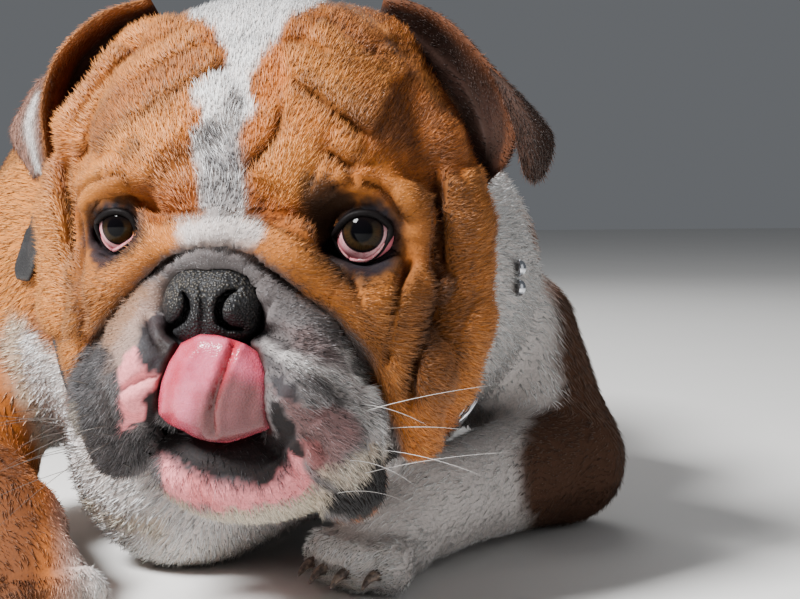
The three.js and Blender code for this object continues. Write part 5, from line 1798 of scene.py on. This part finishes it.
class BULLDOG_OT_coat(bpy.types.Operator):
    """Grow the short coat as tufts that follow the lie of the hair"""
    bl_idname = "bulldog.coat"
    bl_label = "Coat"

    def execute(self, context):
        settings = context.scene.bulldog_coat
        skin = bpy.data.objects["skin"]
        mesh = skin.data
        verts = np.empty(len(mesh.vertices) * 3, np.float32)
        mesh.vertices.foreach_get("co", verts)
        verts = verts.reshape(-1, 3).astype(float) / MILLI
        faces = np.empty(len(mesh.loops), np.int32)
        mesh.loops.foreach_get("vertex_index", faces)
        faces = faces.reshape(-1, 3)
        colour = read_attribute(skin, "MarkingsAndPaintedLight", 4)[:, :3]
        lie = read_attribute(skin, "Lie", 3)
        bare = read_attribute(skin, "Bare", 1)
        hair = read_attribute(skin, "Hair", 1)
        normals = corner_normals(verts, faces)
        a, b, c = (verts[faces[:, i]] for i in range(3))
        area = np.linalg.norm(np.cross(b - a, c - a), axis=1) / 2
        middle = (a + b + c) / 3
        in_face = hair[faces].mean(1) < FACE_HAIR
        density = np.where(in_face, settings.face_count, settings.body_count)
        behind = in_face & (to_head(middle)[:, 1] > FACE_DEEP)
        density = np.where(behind, settings.face_count * NAPE_SHARE, density)
        density = density * (1 - np.clip(bare[faces].mean(1) * 1.15, 0, 1))
        density[middle[:, 2] < BARE_FLOOR] = 0
        ring = collar_place(math.radians(RING_TURN), RING_REACH)
        density[np.linalg.norm(middle - ring, axis=1) < BARE_BY_RING] *= 0.1
        dice = np.random.default_rng(settings.seed)
        want = area * density
        count = np.floor(want + dice.random(len(want))).astype(int)
        face = np.repeat(np.arange(len(faces)), count)
        r1, r2 = np.sqrt(dice.random(len(face))), dice.random(len(face))
        share = np.stack([1 - r1, r1 * (1 - r2), r1 * r2], 1)
        corner = faces[face]

        def blended(values):
            return (values[corner] * share.reshape(share.shape + (1,) * (values.ndim - 1))).sum(1)

        root, normal, way = blended(verts), unit(blended(normals)), unit(blended(lie))
        tint, long = blended(colour), blended(hair)
        flow = ripple(root, 22, 41) - 0.5
        side = np.cross(normal, way)
        way = unit(way + side * (flow * 0.5 + dice.normal(0, 0.16, len(root)))[:, None])
        side = np.cross(normal, way)
        face_tuft = long < FACE_HAIR
        length = np.where(face_tuft, long * settings.face_length, long * settings.body_length / 2) / MILLI
        length = length * dice.uniform(0.65, 1.3, len(root))
        broad, usual = (np.where(face_tuft, *both) for both in zip(FACE_TUFT, BODY_TUFT))
        width = broad * np.clip(length / usual, 0.55, 1.15)
        lift = np.radians(dice.uniform(9, 30, len(root)))
        lift = np.where(face_tuft, lift, lift * 0.6)
        aim = way * np.cos(lift)[:, None] + normal * np.sin(lift)[:, None]
        root = root - normal * ROOT_SINK
        tip = root + aim * length[:, None]
        tip[:, 2] = np.maximum(tip[:, 2], FLOOR_GAP)
        base = [root + side * (width * 0.5)[:, None], root - side * (width * 0.5)[:, None],
                root + np.cross(aim, side) * (-width * 0.45)[:, None]]
        dull = ease(tint.min(1) / np.maximum(tint.max(1), 1e-6), 0.5, 0.85) * ease(tint.max(1), 0.66, 0.5)
        tone = np.clip(1 + dice.normal(0.0, 1.0, len(root)) * (0.24 + 0.24 * dull), 0.25, 2.2)[:, None]
        tint = np.clip(tint * tone, 0.004, 0.95)
        group = self.groups(root)
        material = self.hair()
        for number in range(group.max() + 1):
            chosen = np.flatnonzero(group == number)
            if not len(chosen):
                continue
            self.piece(f"coat_{number + 1}", chosen, base, tip, tint, root, material)
        return {"FINISHED"}

    @staticmethod
    def groups(root):
        """Numbers the tufts so that each piece of the coat holds fewer than fifty thousand."""
        q = to_head(root)
        on_head = (q[:, 1] < 90) & (np.abs(q[:, 0]) < 140) & (q[:, 2] > -120)
        group = np.zeros(len(root), int)
        number = 0
        for mask, key in ((on_head, q[:, 0]), (~on_head, root[:, 1])):
            own = np.flatnonzero(mask)
            order = own[np.argsort(key[own])]
            for part in np.array_split(order, max(1, math.ceil(len(own) / TUFTS_A_PIECE))):
                group[part] = number
                number += 1
        return group

    @staticmethod
    def piece(name, chosen, base, tip, tint, root, material):
        count = len(chosen)
        verts = np.stack([base[0][chosen], base[1][chosen], base[2][chosen], tip[chosen]], 1).reshape(-1, 3)
        start = np.arange(count)[:, None] * 4
        pattern = np.array([[0, 1, 2], [0, 3, 1], [1, 3, 2], [2, 3, 0]])
        pattern = outward(verts[:4], pattern, verts[:4].mean(0))
        faces = (start[:, :, None] + pattern[None]).reshape(-1, 3)
        piece = mesh_piece(name, verts, faces)
        # Each tuft is painted darker at its root, as painted shade within the coat, and lighter at its tip,
        # as painted light
        shades = np.repeat(tint[chosen][:, None], 4, 1) * np.array([0.6, 0.6, 0.6, 1.2])[None, :, None]
        put_attribute(piece, "MarkingsAndPaintedLight", "FLOAT_COLOR", np.clip(shades.reshape(-1, 3), 0, 1))
        q = root[chosen] - np.array([0.0, 20.0, 110.0])
        around = np.arctan2(q[:, 0], q[:, 2]) / math.pi
        along = q[:, 1] / 400.0
        spot = np.stack([around, along], 1)
        low, high = spot.min(0), spot.max(0)
        spot = 0.01 + 0.98 * (spot - low) / np.maximum(high - low, 1e-6)
        patch = np.array([[-0.0015, -0.0010], [0.0015, -0.0010], [0.0, 0.0015], [0.0, 0.0]])
        corner_uv = spot[:, None] + patch[None]
        layer = piece.data.uv_layers.new(name="OFBake")
        loops = np.empty(len(piece.data.loops), np.int32)
        piece.data.loops.foreach_get("vertex_index", loops)
        layer.data.foreach_set("uv", corner_uv.reshape(-1, 2)[loops].astype(np.float32).ravel())
        finish_piece(piece, material, slot="coat_fawn")

    @staticmethod
    def hair():
        finish = Finish("Short hair", Roughness=0.55)
        markings_and_painted_light = finish.attribute("MarkingsAndPaintedLight")
        streak = finish.noise(340.0, 3.0)
        colour = finish.mix(streak.eased(0.3, 0.75) * 0.35, markings_and_painted_light, (0.55, 0.48, 0.42, 1), "MULTIPLY")
        return finish.feed(Base_Color=colour, Roughness=0.48 + streak * 0.18)


class BULLDOG_PT_pieces(bpy.types.Panel):
    """The bulldog's pieces"""
    bl_label = "Bulldog"
    bl_idname = "BULLDOG_PT_pieces"
    bl_space_type = "VIEW_3D"
    bl_region_type = "UI"
    bl_category = "Bulldog"

    def draw(self, context):
        for name in PIECES:
            self.layout.operator(f"bulldog.{name}")


PIECES = ("stage", "skin", "eyes", "nose", "tongue", "claws", "whiskers", "collar", "coat")
GROUPS = {"bulldog_skin": BulldogSkinSettings, "bulldog_coat": BulldogCoatSettings,
          "bulldog_eyes": BulldogEyeSettings, "bulldog_stage": BulldogStageSettings}
CLASSES = (*GROUPS.values(), BULLDOG_OT_stage, BULLDOG_OT_skin, BULLDOG_OT_eyes, BULLDOG_OT_nose,
           BULLDOG_OT_tongue, BULLDOG_OT_claws, BULLDOG_OT_whiskers, BULLDOG_OT_collar, BULLDOG_OT_coat,
           BULLDOG_PT_pieces)


def register():
    for cls in CLASSES:
        bpy.utils.register_class(cls)
    for name, group in GROUPS.items():
        setattr(bpy.types.Scene, name, bpy.props.PointerProperty(type=group))


def unregister():
    for name in GROUPS:
        delattr(bpy.types.Scene, name)
    for cls in reversed(CLASSES):
        bpy.utils.unregister_class(cls)


def main():
    register()
    for name in PIECES:
        getattr(bpy.ops.bulldog, name)()


if __name__ == "__main__":
    main()
